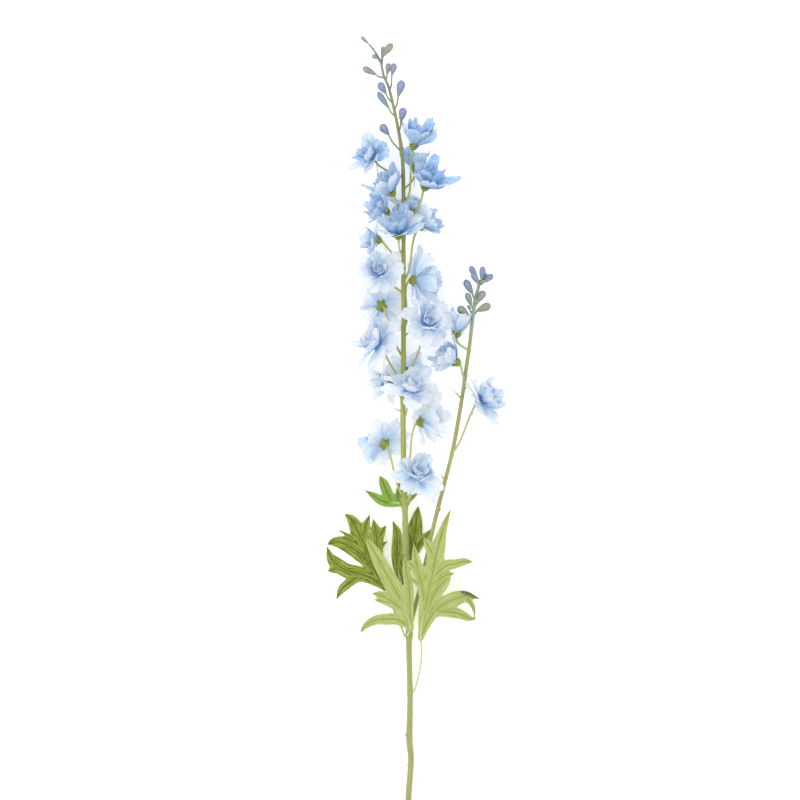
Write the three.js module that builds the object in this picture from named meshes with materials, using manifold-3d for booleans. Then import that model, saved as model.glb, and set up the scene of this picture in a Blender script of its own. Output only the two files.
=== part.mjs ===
// A cut stem of double delphinium, lying on a table as it was picked.
//
// The main stem runs along Y with its cut end towards -Y. Its upper half is a loose spike of double
// blooms under a budded tip, and a slimmer side shoot leaves it low down on the right. Palm-shaped
// leaves stand where the shoot and the stalks leave the stem.
//
// Millimetres. +Z is up, Z = 0 is the table, and the origin lies under the middle of the outline.
// Each bloom, each leaf and the whole green stem is one solid. What would reach under the table is
// pressed flat against it, as soft petals and leaves are.

import * as THREE from 'three';
import { mergeVertices } from 'three/addons/utils/BufferGeometryUtils.js';
import Module from 'manifold-3d';

const wasm = await Module();
wasm.setup();

// ---------------------------------------------------------------- driving dimensions

const GAP = 0.3; // clearance between solids that touch on the plant
const RIB = 1.0; // thickness of a petal or leaf along its rib, which thins to its edge
const PRESSED = 0.7; // least thickness of a blade where the table presses it flat

// Stems: [x, y, z, radius] from the cut end, or from the fork, to the tip.
const MAIN_STEM = [
  [-6.5, -431, 3.5, 3.45], [-6, -405, 3.8, 3.35], [-3.4, -367, 4.2, 3.25],
  [-5.2, -343, 5, 3.55], [-4.4, -299, 6.7, 3.15], [-5.5, -249, 9.2, 3.15],
  [-5.5, -217, 11.1, 3.55], [-7, -167, 13.8, 3.1], [-9, -123, 16.6, 3],
  [-10.5, -78, 19.5, 3.2], [-11.5, -35, 22, 3], [-12.3, 25, 24.5, 2.8], [-11.6, 64, 26, 2.7],
  [-11.6, 141, 28, 2.4], [-11.6, 196, 29.5, 2.2], [-11.6, 251, 31, 2.1], [-12.3, 289, 32, 2],
  [-14.5, 311, 32.5, 2.05], [-18.9, 336, 33, 1.75], [-22.9, 354.5, 33.5, 1.65],
  [-27.7, 374, 33.5, 1.55], [-33.5, 388, 33.5, 1.45], [-36.6, 402, 33, 1.35],
  [-42.5, 413, 32.5, 1.25], [-48.4, 421, 32, 1.2],
];
const SIDE_STEM = [
  [-4.5, -220, 11.2, 2.3], [2.9, -191, 14.5, 2.3], [11, -156, 17, 2.3],
  [18.7, -120.5, 18, 2.3], [25.5, -92, 18.5, 2.4], [40.2, -35, 19.5, 2.2], [47, -2, 20, 2.2],
  [53.4, 37, 20, 2.1], [57.1, 63, 20, 2.1], [60.9, 88, 20, 2], [64, 115, 20, 2],
  [67.2, 140, 19.5, 1.9], [71, 155, 19, 1.7], [73.2, 163, 18.5, 1.5],
];
const MAIN_SIDES = 7;
const SIDE_SIDES = 6;

// Blooms. seat: where the petals spring from. turn and tip: the way the face looks, as degrees round
// from +X and degrees up from the table. across: width when open. open: 1 is open, 0 a closed cup.
// leaves: where on the stem (its y) the stalk starts.
const BLOOMS = [
  { name: 'bloom_01', seat: [0, 311, 38.5], turn: 70, tip: 12, across: 55, open: 0.2, leaves: 246 },
  { name: 'bloom_02', seat: [-46, 297.5, 33], turn: 137, tip: 36, across: 47, open: 0.8, leaves: 275 },
  { name: 'bloom_03', seat: [-25, 259, 44], turn: 124, tip: 10, across: 56, open: 0.35, leaves: 228 },
  { name: 'bloom_04', seat: [-31.5, 238, 18], turn: 150, tip: 0, across: 46, open: 0.55, leaves: 214 },
  { name: 'bloom_05', seat: [1.5, 286, 19], turn: 82, tip: -20, across: 42, open: 0.35, leaves: 262 },
  { name: 'bloom_06', seat: [12.5, 265.5, 42.5], turn: 66, tip: 23, across: 56, open: 0.45, leaves: 218 },
  { name: 'bloom_07', seat: [9, 222, 28], turn: 32, tip: 0, across: 43, open: 0.35, leaves: 162 },
  { name: 'bloom_08', seat: [-17.5, 212, 50], turn: 97, tip: 26, across: 55, open: 0.6, leaves: 190 },
  { name: 'bloom_09', seat: [-41, 207, 23], turn: 168, tip: -6, across: 36, open: 0.8, leaves: 178 },
  { name: 'bloom_10', seat: [-37.5, 172, 37], turn: 100, tip: 70, across: 46, leaves: 148 },
  { name: 'bloom_11', seat: [-0.5, 162.5, 22], turn: 3, tip: -28, across: 58, open: 0.6, leaves: 110 },
  { name: 'bloom_12', seat: [-36.5, 134.5, 18.5], turn: 175, tip: -62, across: 52, leaves: 78 },
  { name: 'bloom_13', seat: [14, 114.5, 46], turn: 58, tip: 58, across: 52, leaves: 54 },
  { name: 'bloom_14', seat: [-38.5, 91, 40], turn: 139, tip: 31, across: 54, leaves: 51 },
  { name: 'bloom_15', seat: [-7, 61.5, 12.5], turn: 79, tip: -56, across: 38, leaves: 39 },
  { name: 'bloom_16', seat: [-27.5, 52, 13], turn: 190, tip: -20, across: 42, leaves: 30 },
  { name: 'bloom_17', seat: [-4.5, 41, 44], turn: 62, tip: 40, across: 54, leaves: 10 },
  { name: 'bloom_18', seat: [8, 6.5, 22], turn: 7, tip: -30, across: 56, open: 0.75, leaves: -52 },
  { name: 'bloom_19', seat: [-33, -17.5, 21], turn: 152, tip: -50, across: 50, leaves: -76 },
  { name: 'bloom_20', seat: [1, -53, 40], turn: 58, tip: 46, across: 52, leaves: -84 },
  { name: 'bloom_21', seat: [-4.5, 240.5, 9.5], turn: 84, tip: -30, across: 33, leaves: 212 },
  { name: 'side_bloom_1', seat: [47.5, 105, 21.5], turn: 84, tip: 0, across: 45, open: 0.15, leaves: 85 },
  { name: 'side_bloom_2', seat: [46, 73, 25], turn: 146, tip: 4, across: 50, open: 0.35, leaves: 54 },
  { name: 'side_bloom_3', seat: [72.5, 29, 24], turn: 32, tip: 16, across: 54, leaves: -28 },
];
const ON_SIDE_STEM = /^side_/;

// One bloom is three layers of five petals round a ten-sided hub, each layer half a petal on from
// the last. Lengths and widths are shares of the bloom's width. Lean is the rib's angle from the
// bloom's axis, in degrees, at the root and at the tip: wide open, and as a closed cup.
const LAYERS = [
  { length: 0.5, halfWidth: 0.2, lean: [80, 102], closed: [56, 2], cup: 0.15, rows: [0.42, 0.78] },
  { length: 0.44, halfWidth: 0.165, lean: [62, 16], closed: [40, -4], cup: 0.2, rows: [0.42, 0.78] },
  { length: 0.3, halfWidth: 0.072, lean: [34, 6], closed: [24, 0], cup: 0.4, rows: [0.66] },
];
const PETALS_PER_LAYER = 5;
const HUB_RADIUS = 2.3;
const HUB_STEP = 0.9; // height of hub that one layer springs from
const CLOSED_WIDTH = 0.72; // share of its width that a closed cup's petal keeps
const SPIN = 47; // degrees that each bloom's petals are turned on from the last one's
const PINWHEEL = 0.2; // each petal's left edge lies over the right edge of the next
const ROW_WIDTH = [0.7, 1]; // half width at a petal's first and second row, as a share of its greatest
const NOTCH = { at: 0.9, tooth: 0.46 }; // the cleft in a petal's end, and how far out its two points lie
const WOBBLE = { lean: 8, turn: 4, length: 0.2 }; // most that a petal departs from the rule

// Stalks, spurs and calyces
const STALK_RADIUS = 1.1;
const STALK_SIDES = 5;
const STALK_TAPER = [1.3, 1, 1, 1.1]; // shares of its radius from the stem to the bloom
const STALK_BEND = { leave: 0.3, lift: 0.4, arrive: 0.22, sag: 0.2 }; // shares of the stalk's reach
const CALYX = {
  rim: 3.8,
  rimBelow: 0.6,
  shoulder: 4.6,
  shoulderBelow: 2.2,
  neckBelow: 5.6,
  lobe: [6.6, 7.1], // reach of a lobe's tip under a closed and under an open bloom
  lobeAbove: [2, -1.2],
  lowest: 0.2,
};
const SPUR = { length: 15, root: 1.6, back: [0.42, 0.6], droop: [0.12, 0.75], radii: [0.7, 0.65, 0.5] };

// Buds: [x, y, z] of the bud's foot and of its tip, its radius, and the y where its stalk starts.
const MAIN_BUDS = [
  { foot: [-27.5, 322, 37.5], tip: [-36.5, 333.5, 40], radius: 4.6, leaves: 304 },
  { foot: [-14.5, 336.5, 37], tip: [-11.5, 352, 41], radius: 4.5, leaves: 326 },
  { foot: [-17.5, 364, 37], tip: [-13, 382, 41], radius: 4.6, leaves: 350 },
  { foot: [-27, 351, 29], tip: [-40, 370, 25], radius: 3.6, leaves: 342 },
  { foot: [-30.5, 367, 38], tip: [-38.5, 379.5, 42], radius: 4.2, leaves: 357 },
  { foot: [-24.5, 387, 36], tip: [-21.5, 401, 39], radius: 3.5, leaves: 372 },
  { foot: [-29.5, 389, 30], tip: [-27.5, 401.5, 27], radius: 3.4, leaves: 378 },
  { foot: [-41, 388, 36], tip: [-56.5, 396, 39], radius: 3.7, leaves: 384 },
  { foot: [-34.5, 408, 35], tip: [-24, 422.5, 38], radius: 4, leaves: 399 },
  { foot: [-35.5, 409.5, 30], tip: [-33.5, 420, 28], radius: 2.7, leaves: 402 },
  { foot: [-39.5, 406, 36], tip: [-46, 409.5, 38.5], radius: 2.6, leaves: 402 },
  { foot: [-49.2, 421.8, 32], tip: [-58.5, 430.7, 32.5], radius: 2, leaves: 419 },
];
const SIDE_BUDS = [
  { foot: [61, 122.5, 21], tip: [48.5, 133.5, 24], radius: 4.5, leaves: 112 },
  { foot: [68.5, 128.5, 17], tip: [84.5, 136, 15], radius: 4.5, leaves: 122 },
  { foot: [62.5, 129, 17], tip: [59.5, 135.5, 15.5], radius: 1.7, leaves: 124 },
  { foot: [63.5, 134, 22], tip: [58, 149, 24.5], radius: 3.5, leaves: 130 },
  { foot: [70, 138, 22], tip: [77.5, 151, 24], radius: 4.2, leaves: 134 },
  { foot: [65, 147, 17], tip: [56, 163.5, 15], radius: 4.1, leaves: 141 },
  { foot: [72, 158, 21], tip: [64, 171, 23.5], radius: 3.5, leaves: 152 },
  { foot: [69.5, 164.5, 16.5], tip: [62, 178.5, 15], radius: 3.5, leaves: 157 },
  { foot: [74, 163, 20.5], tip: [76, 178, 23], radius: 3.4, leaves: 158 },
  { foot: [75, 162, 16], tip: [79.5, 171, 13.5], radius: 3.2, leaves: 158 },
  { foot: [76.5, 160, 18.5], tip: [87, 169, 19], radius: 3.5, leaves: 157 },
];
const BUD_SIDES = 5;
const BUD_STALK_RADII = [1.1, 0.95];
const BUD_PROFILE = [[0.25, 0.6], [0.68, 1], [0.93, 0.62]]; // [share along, share of radius]

// Bracts and leaf scars, as small tapered spikes on the stems: [foot, tip, radius].
const BRACTS = [
  { foot: [-5, -343, 6], tip: [-10.5, -337, 7.5], radius: 1.5 },
  { foot: [-3.6, -374, 4.5], tip: [-8.4, -371, 5.5], radius: 1.2 },
  { foot: [-12, 18, 24.3], tip: [-24, 23, 28], radius: 0.9 },
  { foot: [-11.6, 100, 27], tip: [-3.5, 108, 29.5], radius: 1.1 },
  { foot: [51.6, 33, 20], tip: [42, 44, 24], radius: 0.8 },
  { foot: [52.8, 38, 20], tip: [61, 50, 18], radius: 0.8 },
  { foot: [25.5, -93, 18.5], tip: [30.5, -88, 20], radius: 1.3 },
  { foot: [34, -57, 19], tip: [29.5, -50.5, 20.5], radius: 1.1 },
];

// Leaves. Each lobe is a rib of [x, y, z, half width] from the palm to its point, and the first
// lobe's rib starts where the leaf stalk ends. fold lifts both edges; stalk is the leaf stalk's path.
const LEAVES = [
  {
    name: 'leaf_back_left',
    fold: 0.12,
    stalk: {
      leaves: -229,
      side: [-1, 0, -0.35],
      via: [[-17, -212, 9], [-26, -192, 6]],
      end: [-33, -171, 4.5],
    },
    lobes: [
      [[-31, -176, 4, 3], [-44, -150, 6, 6.5], [-54, -130, 9, 8], [-61.5, -115, 11, 8.2],
        [-68, -102, 12, 5.5], [-76.8, -94.5, 9]],
      [[-56, -120, 10, 5], [-53, -107, 12, 4.2], [-48.4, -94.8, 15]],
      [[-31, -176, 4, 3], [-37, -150, 7, 4.5], [-40.5, -130, 9, 6], [-41.5, -116, 9.5, 6], [-45, -100.2, 8]],
      [[-39, -124, 8.5, 4.5], [-35.5, -115, 11, 4], [-30.3, -107, 14]],
      [[-38, -131, 8.8, 3.5], [-28.6, -125, 8.5]],
      [[-31, -176, 4, 3.5], [-49, -150, 7.5, 6.5], [-58, -140.5, 10, 8], [-69.5, -131.5, 13, 8.3],
        [-80, -126.5, 15, 7], [-89, -125.8, 13.5, 4.2], [-95.5, -128.7, 9]],
      [[-31, -176, 4, 3.5], [-49, -165, 1.5, 7], [-63.7, -160.2, -1, 8], [-75, -157.4, -1.5, 8],
        [-85.3, -150.6, -1.5, 7.5], [-92.1, -142.7, 0, 4.5], [-96, -131, 4]],
      [[-80, -154, -1, 5], [-88, -156, -1, 4.5], [-95.2, -158, 0]],
      [[-60, -163, 0.7, 5], [-72.8, -172, 1.5, 5], [-80.2, -179, 1.8, 4], [-85.8, -189.7, 1.5]],
    ],
  },
  {
    name: 'leaf_back_right',
    fold: 0.12,
    stalk: { leaves: -190, side: [-0.3, 0, -1], via: [[-10, -181, 7.5]], end: [-15, -168, 5.5] },
    lobes: [
      [[-14, -171, 5, 2.5], [-18.5, -150, 5, 5.5], [-18.5, -130, 6.5, 6.3], [-19, -115, 8.5, 4.5],
        [-23.7, -101.9, 10]],
      [[-14, -171, 5, 3], [-5, -141, 4, 5.5], [0, -122, 5, 8], [2.2, -106, 6.5, 7], [3.5, -95, 8, 4],
        [4.8, -86, 8.5]],
      [[-4, -122, 4.6, 4], [-10, -107, 6, 3], [-11.5, -99, 7]],
      [[-13, -165, 4.6, 3], [4, -132, 3, 4.5], [14, -119, 4, 3.5], [25, -108, 6]],
    ],
  },
  {
    name: 'leaf_front_left',
    fold: 0.14,
    stalk: { leaves: -228, side: [-0.25, 0, 1], via: [], end: [-4.5, -217, 19.5] },
    lobes: [
      [[-4, -221, 19, 3], [-15, -189, 26, 8], [-28.5, -164, 31, 8.5], [-42, -139, 34, 6.5], [-54, -118, 36]],
      [[-4, -221, 19, 3], [-5, -180, 25.5, 4.8], [-8.5, -157, 29.5, 4.2], [-10.5, -137, 33]],
      [[-9, -202, 22, 5], [-26, -190, 25, 6.5], [-37, -184, 26, 4.5], [-46.2, -181.8, 27]],
      [[-26, -192, 25, 4.5], [-36, -190.5, 24, 2.6], [-44.5, -189, 23]],
      [[-4, -219, 19, 3], [-19, -211, 21, 6], [-31, -210.7, 21, 6.2], [-42.5, -211.8, 18.5, 5.2],
        [-53.5, -218.3, 14, 3.4], [-59.5, -227, 9]],
    ],
  },
  {
    name: 'leaf_front_right',
    fold: 0.14,
    stalk: {
      leaves: -290,
      side: [1, 0, 0.25],
      via: [[5.5, -272, 12], [8.5, -250, 17.5]],
      end: [7.6, -226, 22],
    },
    lobes: [
      [[7.5, -231, 21, 2.5], [12, -200, 26, 7], [19, -167, 32, 9.5], [24.7, -138, 35.5, 9],
        [28.3, -124.5, 36.5, 6.8], [31.5, -113, 37, 4.5], [35.1, -102, 37.5, 3.1], [40.5, -88.8, 38]],
      [[24, -145, 34.5, 6], [16, -130, 37, 4.5], [10, -119, 39]],
      [[20, -165, 31.5, 6], [35, -151.7, 33, 6], [44, -149.7, 33, 5.3], [55.3, -147, 31.5, 4],
        [65.5, -147.2, 27]],
      [[20, -173, 31, 4.5], [33, -163, 30, 5], [44.5, -159.7, 29]],
      [[10, -215, 24, 3], [22, -184, 28, 7], [32, -170, 29.5, 7], [40, -165, 29]],
      [[7.5, -231, 21, 2.5], [12, -200, 25, 3.2], [9, -175, 28.5, 5.5], [3.5, -152, 32, 6], [-0.9, -125, 34]],
      [[5, -160, 30.5, 5], [-3, -150, 33, 3.5], [-8, -146, 34.5]],
      [[6, -172, 29, 4], [0, -168, 29.5, 2.5], [-4.5, -166, 30.5]],
      [[7.5, -231, 21, 2.5], [19, -207, 22.5, 5.5], [30, -196.5, 23.5, 7.5], [42, -189.5, 24, 8.5],
        [52, -186, 23, 7], [60.5, -184.8, 18, 3.8], [73.4, -188.6, 9]],
      [[24, -202, 23, 5], [38, -202.5, 20, 6], [50, -205, 15, 5.5], [60, -209.5, 10, 3.6], [68, -211.2, 7]],
      [[58, -187, 18.5, 4], [65, -197, 13, 2.4], [67.5, -210, 8]],
    ],
  },
  {
    name: 'leaf_upper_left',
    fold: 0.16,
    stalk: { leaves: -86, side: [-1, 0, -0.2], via: [], end: [-17.5, -82.5, 19.5] },
    lobes: [
      [[-16.5, -83, 19.5, 2.5], [-27, -82.5, 18.5, 4.8], [-36, -80, 18, 5.2], [-44, -75, 18.5, 4],
        [-54.5, -68.2, 20.5]],
      [[-23, -83, 19.1, 4], [-29, -72, 20.5, 5.8], [-33.5, -61, 22.5, 5], [-38, -52.2, 24.5]],
      [[-17.5, -84, 19.5, 2.5], [-16.8, -70, 16.5, 3.2], [-16, -58, 14.5]],
    ],
  },
  {
    name: 'leaf_upper_right',
    fold: 0.16,
    stalk: { leaves: -84, side: [1, 0, -0.3], via: [], end: [-5, -80, 18.5] },
    lobes: [
      [[-5.4, -80, 18.5, 2.1], [-1, -69.5, 17.5, 3], [2.5, -60, 16.5]],
      [[-5.4, -80, 18.5, 2.1], [1, -72, 17.5, 3.2], [10, -67, 17.5]],
    ],
  },
];
const LEAF_STALK_RADIUS = 1.1;
const LEAF_STALK_KNEE = 1.6; // how far a leaf stalk runs straight out from the stem

// ---------------------------------------------------------------- small helpers

const radians = THREE.MathUtils.degToRad;
const vector = ([x, y, z]) => new THREE.Vector3(x, y, z);
const smoothCurve = (points) => new THREE.CatmullRomCurve3(points, false, 'centripetal');

// A repeatable stream of numbers from -1 to 1.
function wobbles(seed) {
  let state = seed * 7919 + 104729;
  return () => {
    state = (state * 16807) % 2147483647;
    return (state / 2147483647) * 2 - 1;
  };
}

function facing(turn, tip) {
  const level = Math.cos(radians(tip));
  return new THREE.Vector3(
    Math.cos(radians(turn)) * level,
    Math.sin(radians(turn)) * level,
    Math.sin(radians(tip)),
  );
}

function geometryOf(points, triangles) {
  const geometry = new THREE.BufferGeometry();
  const values = points.flatMap((point) => point.toArray());
  geometry.setAttribute('position', new THREE.Float32BufferAttribute(values, 3));
  geometry.setIndex(triangles.flat());
  return geometry;
}

// Rings of equal count, joined in turn and capped, facing out when the rings run anticlockwise seen
// against the way they are joined. A last ring of one point closes to a tip. Sides from the one
// numbered mirrored on are split along their other diagonal, so that a blade's faces split alike.
function loft(rings, mirrored = Infinity) {
  const points = rings.flat();
  const count = rings[0].length;
  const triangles = [];
  for (let r = 0; r + 1 < rings.length; r++) {
    const here = r * count;
    const next = here + count;
    for (let i = 0; i < count; i++) {
      const j = (i + 1) % count;
      if (rings[r + 1].length === 1) {
        triangles.push([here + i, here + j, next]);
      } else if (i >= mirrored) {
        triangles.push([here + i, here + j, next + i], [here + j, next + j, next + i]);
      } else {
        triangles.push([here + i, here + j, next + j], [here + i, next + j, next + i]);
      }
    }
  }
  const last = rings.at(-1);
  for (let i = 1; i + 1 < count; i++) {
    triangles.push([0, i + 1, i]);
    if (last.length > 1) {
      const top = points.length - count;
      triangles.push([top, top + i, top + i + 1]);
    }
  }
  return geometryOf(points, triangles);
}

// Rings round a curve, with the radius given for each step.
function ringsAlong(curve, radii, sides) {
  const steps = radii.length - 1;
  const frames = curve.computeFrenetFrames(steps, false);
  return radii.map((radius, step) => {
    const centre = curve.getPointAt(step / steps);
    return Array.from({ length: sides }, (_, i) => {
      const angle = (2 * Math.PI * i) / sides;
      return centre
        .clone()
        .addScaledVector(frames.normals[step], radius * Math.cos(angle))
        .addScaledVector(frames.binormals[step], radius * Math.sin(angle));
    });
  });
}

function solidOf(geometry) {
  const bare = mergeVertices(geometry, 1e-4);
  return new wasm.Manifold(
    new wasm.Mesh({
      numProp: 3,
      vertProperties: new Float32Array(bare.attributes.position.array),
      triVerts: new Uint32Array(bare.index.array),
    }),
  );
}

function joined(geometries) {
  return wasm.Manifold.union(geometries.map(solidOf));
}

function meshOf(name, solid, material) {
  const { numProp, vertProperties, triVerts } = solid.getMesh();
  const points = [];
  for (let i = 0; i < vertProperties.length; i += numProp) {
    points.push(vector(vertProperties.subarray(i, i + 3)));
  }
  const mesh = new THREE.Mesh(geometryOf(points, Array.from(triVerts)), material);
  mesh.geometry.computeVertexNormals();
  mesh.name = name;
  return mesh;
}

// ---------------------------------------------------------------- stems

function stemPath(table) {
  const curve = smoothCurve(table.map(vector));
  const pointAtY = (y) => {
    let i = 0;
    while (i < table.length - 2 && table[i + 1][1] < y) i++;
    const share = (y - table[i][1]) / (table[i + 1][1] - table[i][1]);
    const at = table[i].map((value, k) => THREE.MathUtils.lerp(value, table[i + 1][k], share));
    return { centre: vector(at), radius: at[3] };
  };
  return { table, curve, pointAtY };
}

// A stem's rings stand at the table's own points, so that its joints keep their places.
function stemGeometry(path, sides) {
  const { table, curve } = path;
  const along = table.map((_, i) => i / (table.length - 1));
  const up = new THREE.Vector3(0, 0, 1);
  const rings = table.map((row, i) => {
    const tangent = curve.getTangent(along[i]);
    const side = new THREE.Vector3().crossVectors(up, tangent).normalize();
    const lift = new THREE.Vector3().crossVectors(tangent, side);
    return Array.from({ length: sides }, (_, k) => {
      const angle = (2 * Math.PI * (k + 0.5)) / sides - Math.PI / 2;
      const point = vector(row)
        .addScaledVector(side, row[3] * Math.cos(angle))
        .addScaledVector(lift, row[3] * Math.sin(angle));
      point.z = Math.max(point.z, 0);
      return point;
    });
  });
  return loft(rings);
}

// A stalk keeps near the stem at first, and arrives from below along the way that it ends.
function stalkCurve(start, end, arrival) {
  const reach = start.distanceTo(end);
  const way = new THREE.Vector3(
    Math.sign(end.x - start.x),
    1,
    STALK_BEND.lift * Math.sign(end.z - start.z),
  ).normalize();
  const first = start.clone().addScaledVector(way, STALK_BEND.leave * reach);
  const second = end.clone().addScaledVector(arrival, -STALK_BEND.arrive * reach);
  second.y -= STALK_BEND.sag * reach;
  return new THREE.CubicBezierCurve3(start, first, second, end);
}

// ---------------------------------------------------------------- blooms

// A bloom's own frame: petals spring round +Z from the seat.
function bloomFrame(bloom, index) {
  const axis = facing(bloom.turn, bloom.tip);
  const spin = new THREE.Quaternion().setFromAxisAngle(new THREE.Vector3(0, 0, 1), radians(index * SPIN));
  const aim = new THREE.Quaternion().setFromUnitVectors(new THREE.Vector3(0, 0, 1), axis);
  return new THREE.Matrix4().compose(vector(bloom.seat), aim.multiply(spin), new THREE.Vector3(1, 1, 1));
}

// One petal's surface: across runs from -1 to 1 between its edges, along from 0 to 1 up its rib.
function petalSurface(petal) {
  const bend = petal.leanEnd - petal.leanStart;
  return (across, along, halfWidth) => {
    const lean = petal.leanStart + bend * along;
    const out = HUB_RADIUS + (petal.length * (Math.cos(petal.leanStart) - Math.cos(lean))) / bend;
    const up = petal.rise + (petal.length * (Math.sin(lean) - Math.sin(petal.leanStart))) / bend;
    const raise = halfWidth * (petal.cup * across * across * along + PINWHEEL * across);
    const normal = new THREE.Vector3(-Math.cos(lean), 0, Math.sin(lean));
    const point = new THREE.Vector3(out, across * halfWidth, up).addScaledVector(normal, raise);
    return {
      point: point.applyAxisAngle(new THREE.Vector3(0, 0, 1), petal.turn),
      normal: normal.applyAxisAngle(new THREE.Vector3(0, 0, 1), petal.turn),
    };
  };
}

function bloomPetals(bloom, index) {
  const draw = wobbles(index + 1);
  const open = bloom.open ?? 1;
  const width = THREE.MathUtils.lerp(CLOSED_WIDTH, 1, open);
  return LAYERS.flatMap((layer, level) =>
    Array.from({ length: PETALS_PER_LAYER }, (_, k) => {
      const tilt = WOBBLE.lean * draw();
      const [start, end] = [0, 1].map((i) => THREE.MathUtils.lerp(layer.closed[i], layer.lean[i], open));
      const side = 2 * k + (level % 2);
      return {
        level,
        side,
        rows: layer.rows,
        cup: layer.cup,
        turn: radians(36 * side + 18 + WOBBLE.turn * draw()),
        length: bloom.across * layer.length * (1 + WOBBLE.length * draw()),
        halfWidth: bloom.across * layer.halfWidth * width,
        leanStart: radians(start),
        leanEnd: radians(end + tilt),
        rise: HUB_STEP * (level + 0.5),
      };
    }),
  );
}

// The whole bloom as one closed surface: a ten-sided hub with a petal growing out of a side of it.
function bloomGeometry(bloom, index) {
  const points = [];
  const triangles = [];
  const pairs = [];
  const add = (point) => points.push(point) - 1;
  const corners = 2 * PETALS_PER_LAYER;
  const hub = [0, 1, 2, 3].map((level) =>
    Array.from({ length: corners }, (_, k) => {
      const spoke = new THREE.Vector3(Math.cos(radians(36 * k)), Math.sin(radians(36 * k)), 0);
      return add(spoke.multiplyScalar(HUB_RADIUS).setZ(HUB_STEP * level));
    }),
  );
  for (let k = 1; k + 1 < corners; k++) {
    triangles.push([hub[0][0], hub[0][k + 1], hub[0][k]], [hub[3][0], hub[3][k], hub[3][k + 1]]);
  }
  for (let level = 0; level < 3; level++) {
    for (let k = 1 - (level % 2); k < corners; k += 2) {
      const j = (k + 1) % corners;
      const [a, b, c, d] = [hub[level][k], hub[level][j], hub[level + 1][j], hub[level + 1][k]];
      triangles.push([a, b, c], [a, c, d]);
    }
  }
  for (const petal of bloomPetals(bloom, index)) {
    const surface = petalSurface(petal);
    const j = (petal.side + 1) % corners;
    const [footLeft, footRight] = [hub[petal.level][petal.side], hub[petal.level][j]];
    const [headLeft, headRight] = [hub[petal.level + 1][petal.side], hub[petal.level + 1][j]];
    const row = (along, share) => {
      const half = petal.halfWidth * share;
      const middle = surface(0, along, half);
      const front = add(middle.point.clone().addScaledVector(middle.normal, RIB / 2));
      const back = add(middle.point.clone().addScaledVector(middle.normal, -RIB / 2));
      const left = add(surface(-1, along, half).point);
      const right = add(surface(1, along, half).point);
      pairs.push([front, back]);
      return { left, right, front, back };
    };
    const rows = petal.rows.map((along, r) => row(along, petal.rows.length > 1 ? ROW_WIDTH[r] : 1));
    const first = rows[0];
    triangles.push(
      [headLeft, first.left, first.front], [headLeft, first.front, headRight],
      [headRight, first.front, first.right], [footLeft, first.back, first.left],
      [footLeft, footRight, first.back], [footRight, first.right, first.back],
      [headLeft, footLeft, first.left], [footRight, headRight, first.right],
    );
    for (let r = 0; r + 1 < rows.length; r++) {
      const [a, b] = [rows[r], rows[r + 1]];
      triangles.push(
        [a.left, b.left, b.front], [a.left, b.front, a.front],
        [a.front, b.front, b.right], [a.front, b.right, a.right],
        [a.left, b.back, b.left], [a.left, a.back, b.back],
        [a.back, b.right, b.back], [a.back, a.right, b.right],
      );
    }
    const last = rows.at(-1);
    const half = petal.halfWidth;
    const [toothLeft, cleft, toothRight] = [
      surface(-NOTCH.tooth, 1, half), surface(0, NOTCH.at, half), surface(NOTCH.tooth, 1, half),
    ].map((spot) => add(spot.point));
    triangles.push(
      [last.left, toothLeft, last.front], [toothLeft, cleft, last.front],
      [cleft, toothRight, last.front], [toothRight, last.right, last.front],
      [last.left, last.back, toothLeft], [toothLeft, last.back, cleft],
      [cleft, last.back, toothRight], [toothRight, last.back, last.right],
    );
  }
  const frame = bloomFrame(bloom, index);
  points.forEach((point) => point.applyMatrix4(frame));
  pressFlat(points, pairs);
  return geometryOf(points, triangles);
}

// Nothing reaches under the table. Where a rib is pressed, its upper face stays clear of its lower.
function pressFlat(points, pairs) {
  const ordered = pairs.map((pair) => pair.map((i) => points[i]).sort((a, b) => a.z - b.z));
  for (const point of points) point.z = Math.max(point.z, 0);
  for (const [low, high] of ordered) {
    if (low.z === 0) high.z = Math.max(high.z, PRESSED);
  }
}

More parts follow.
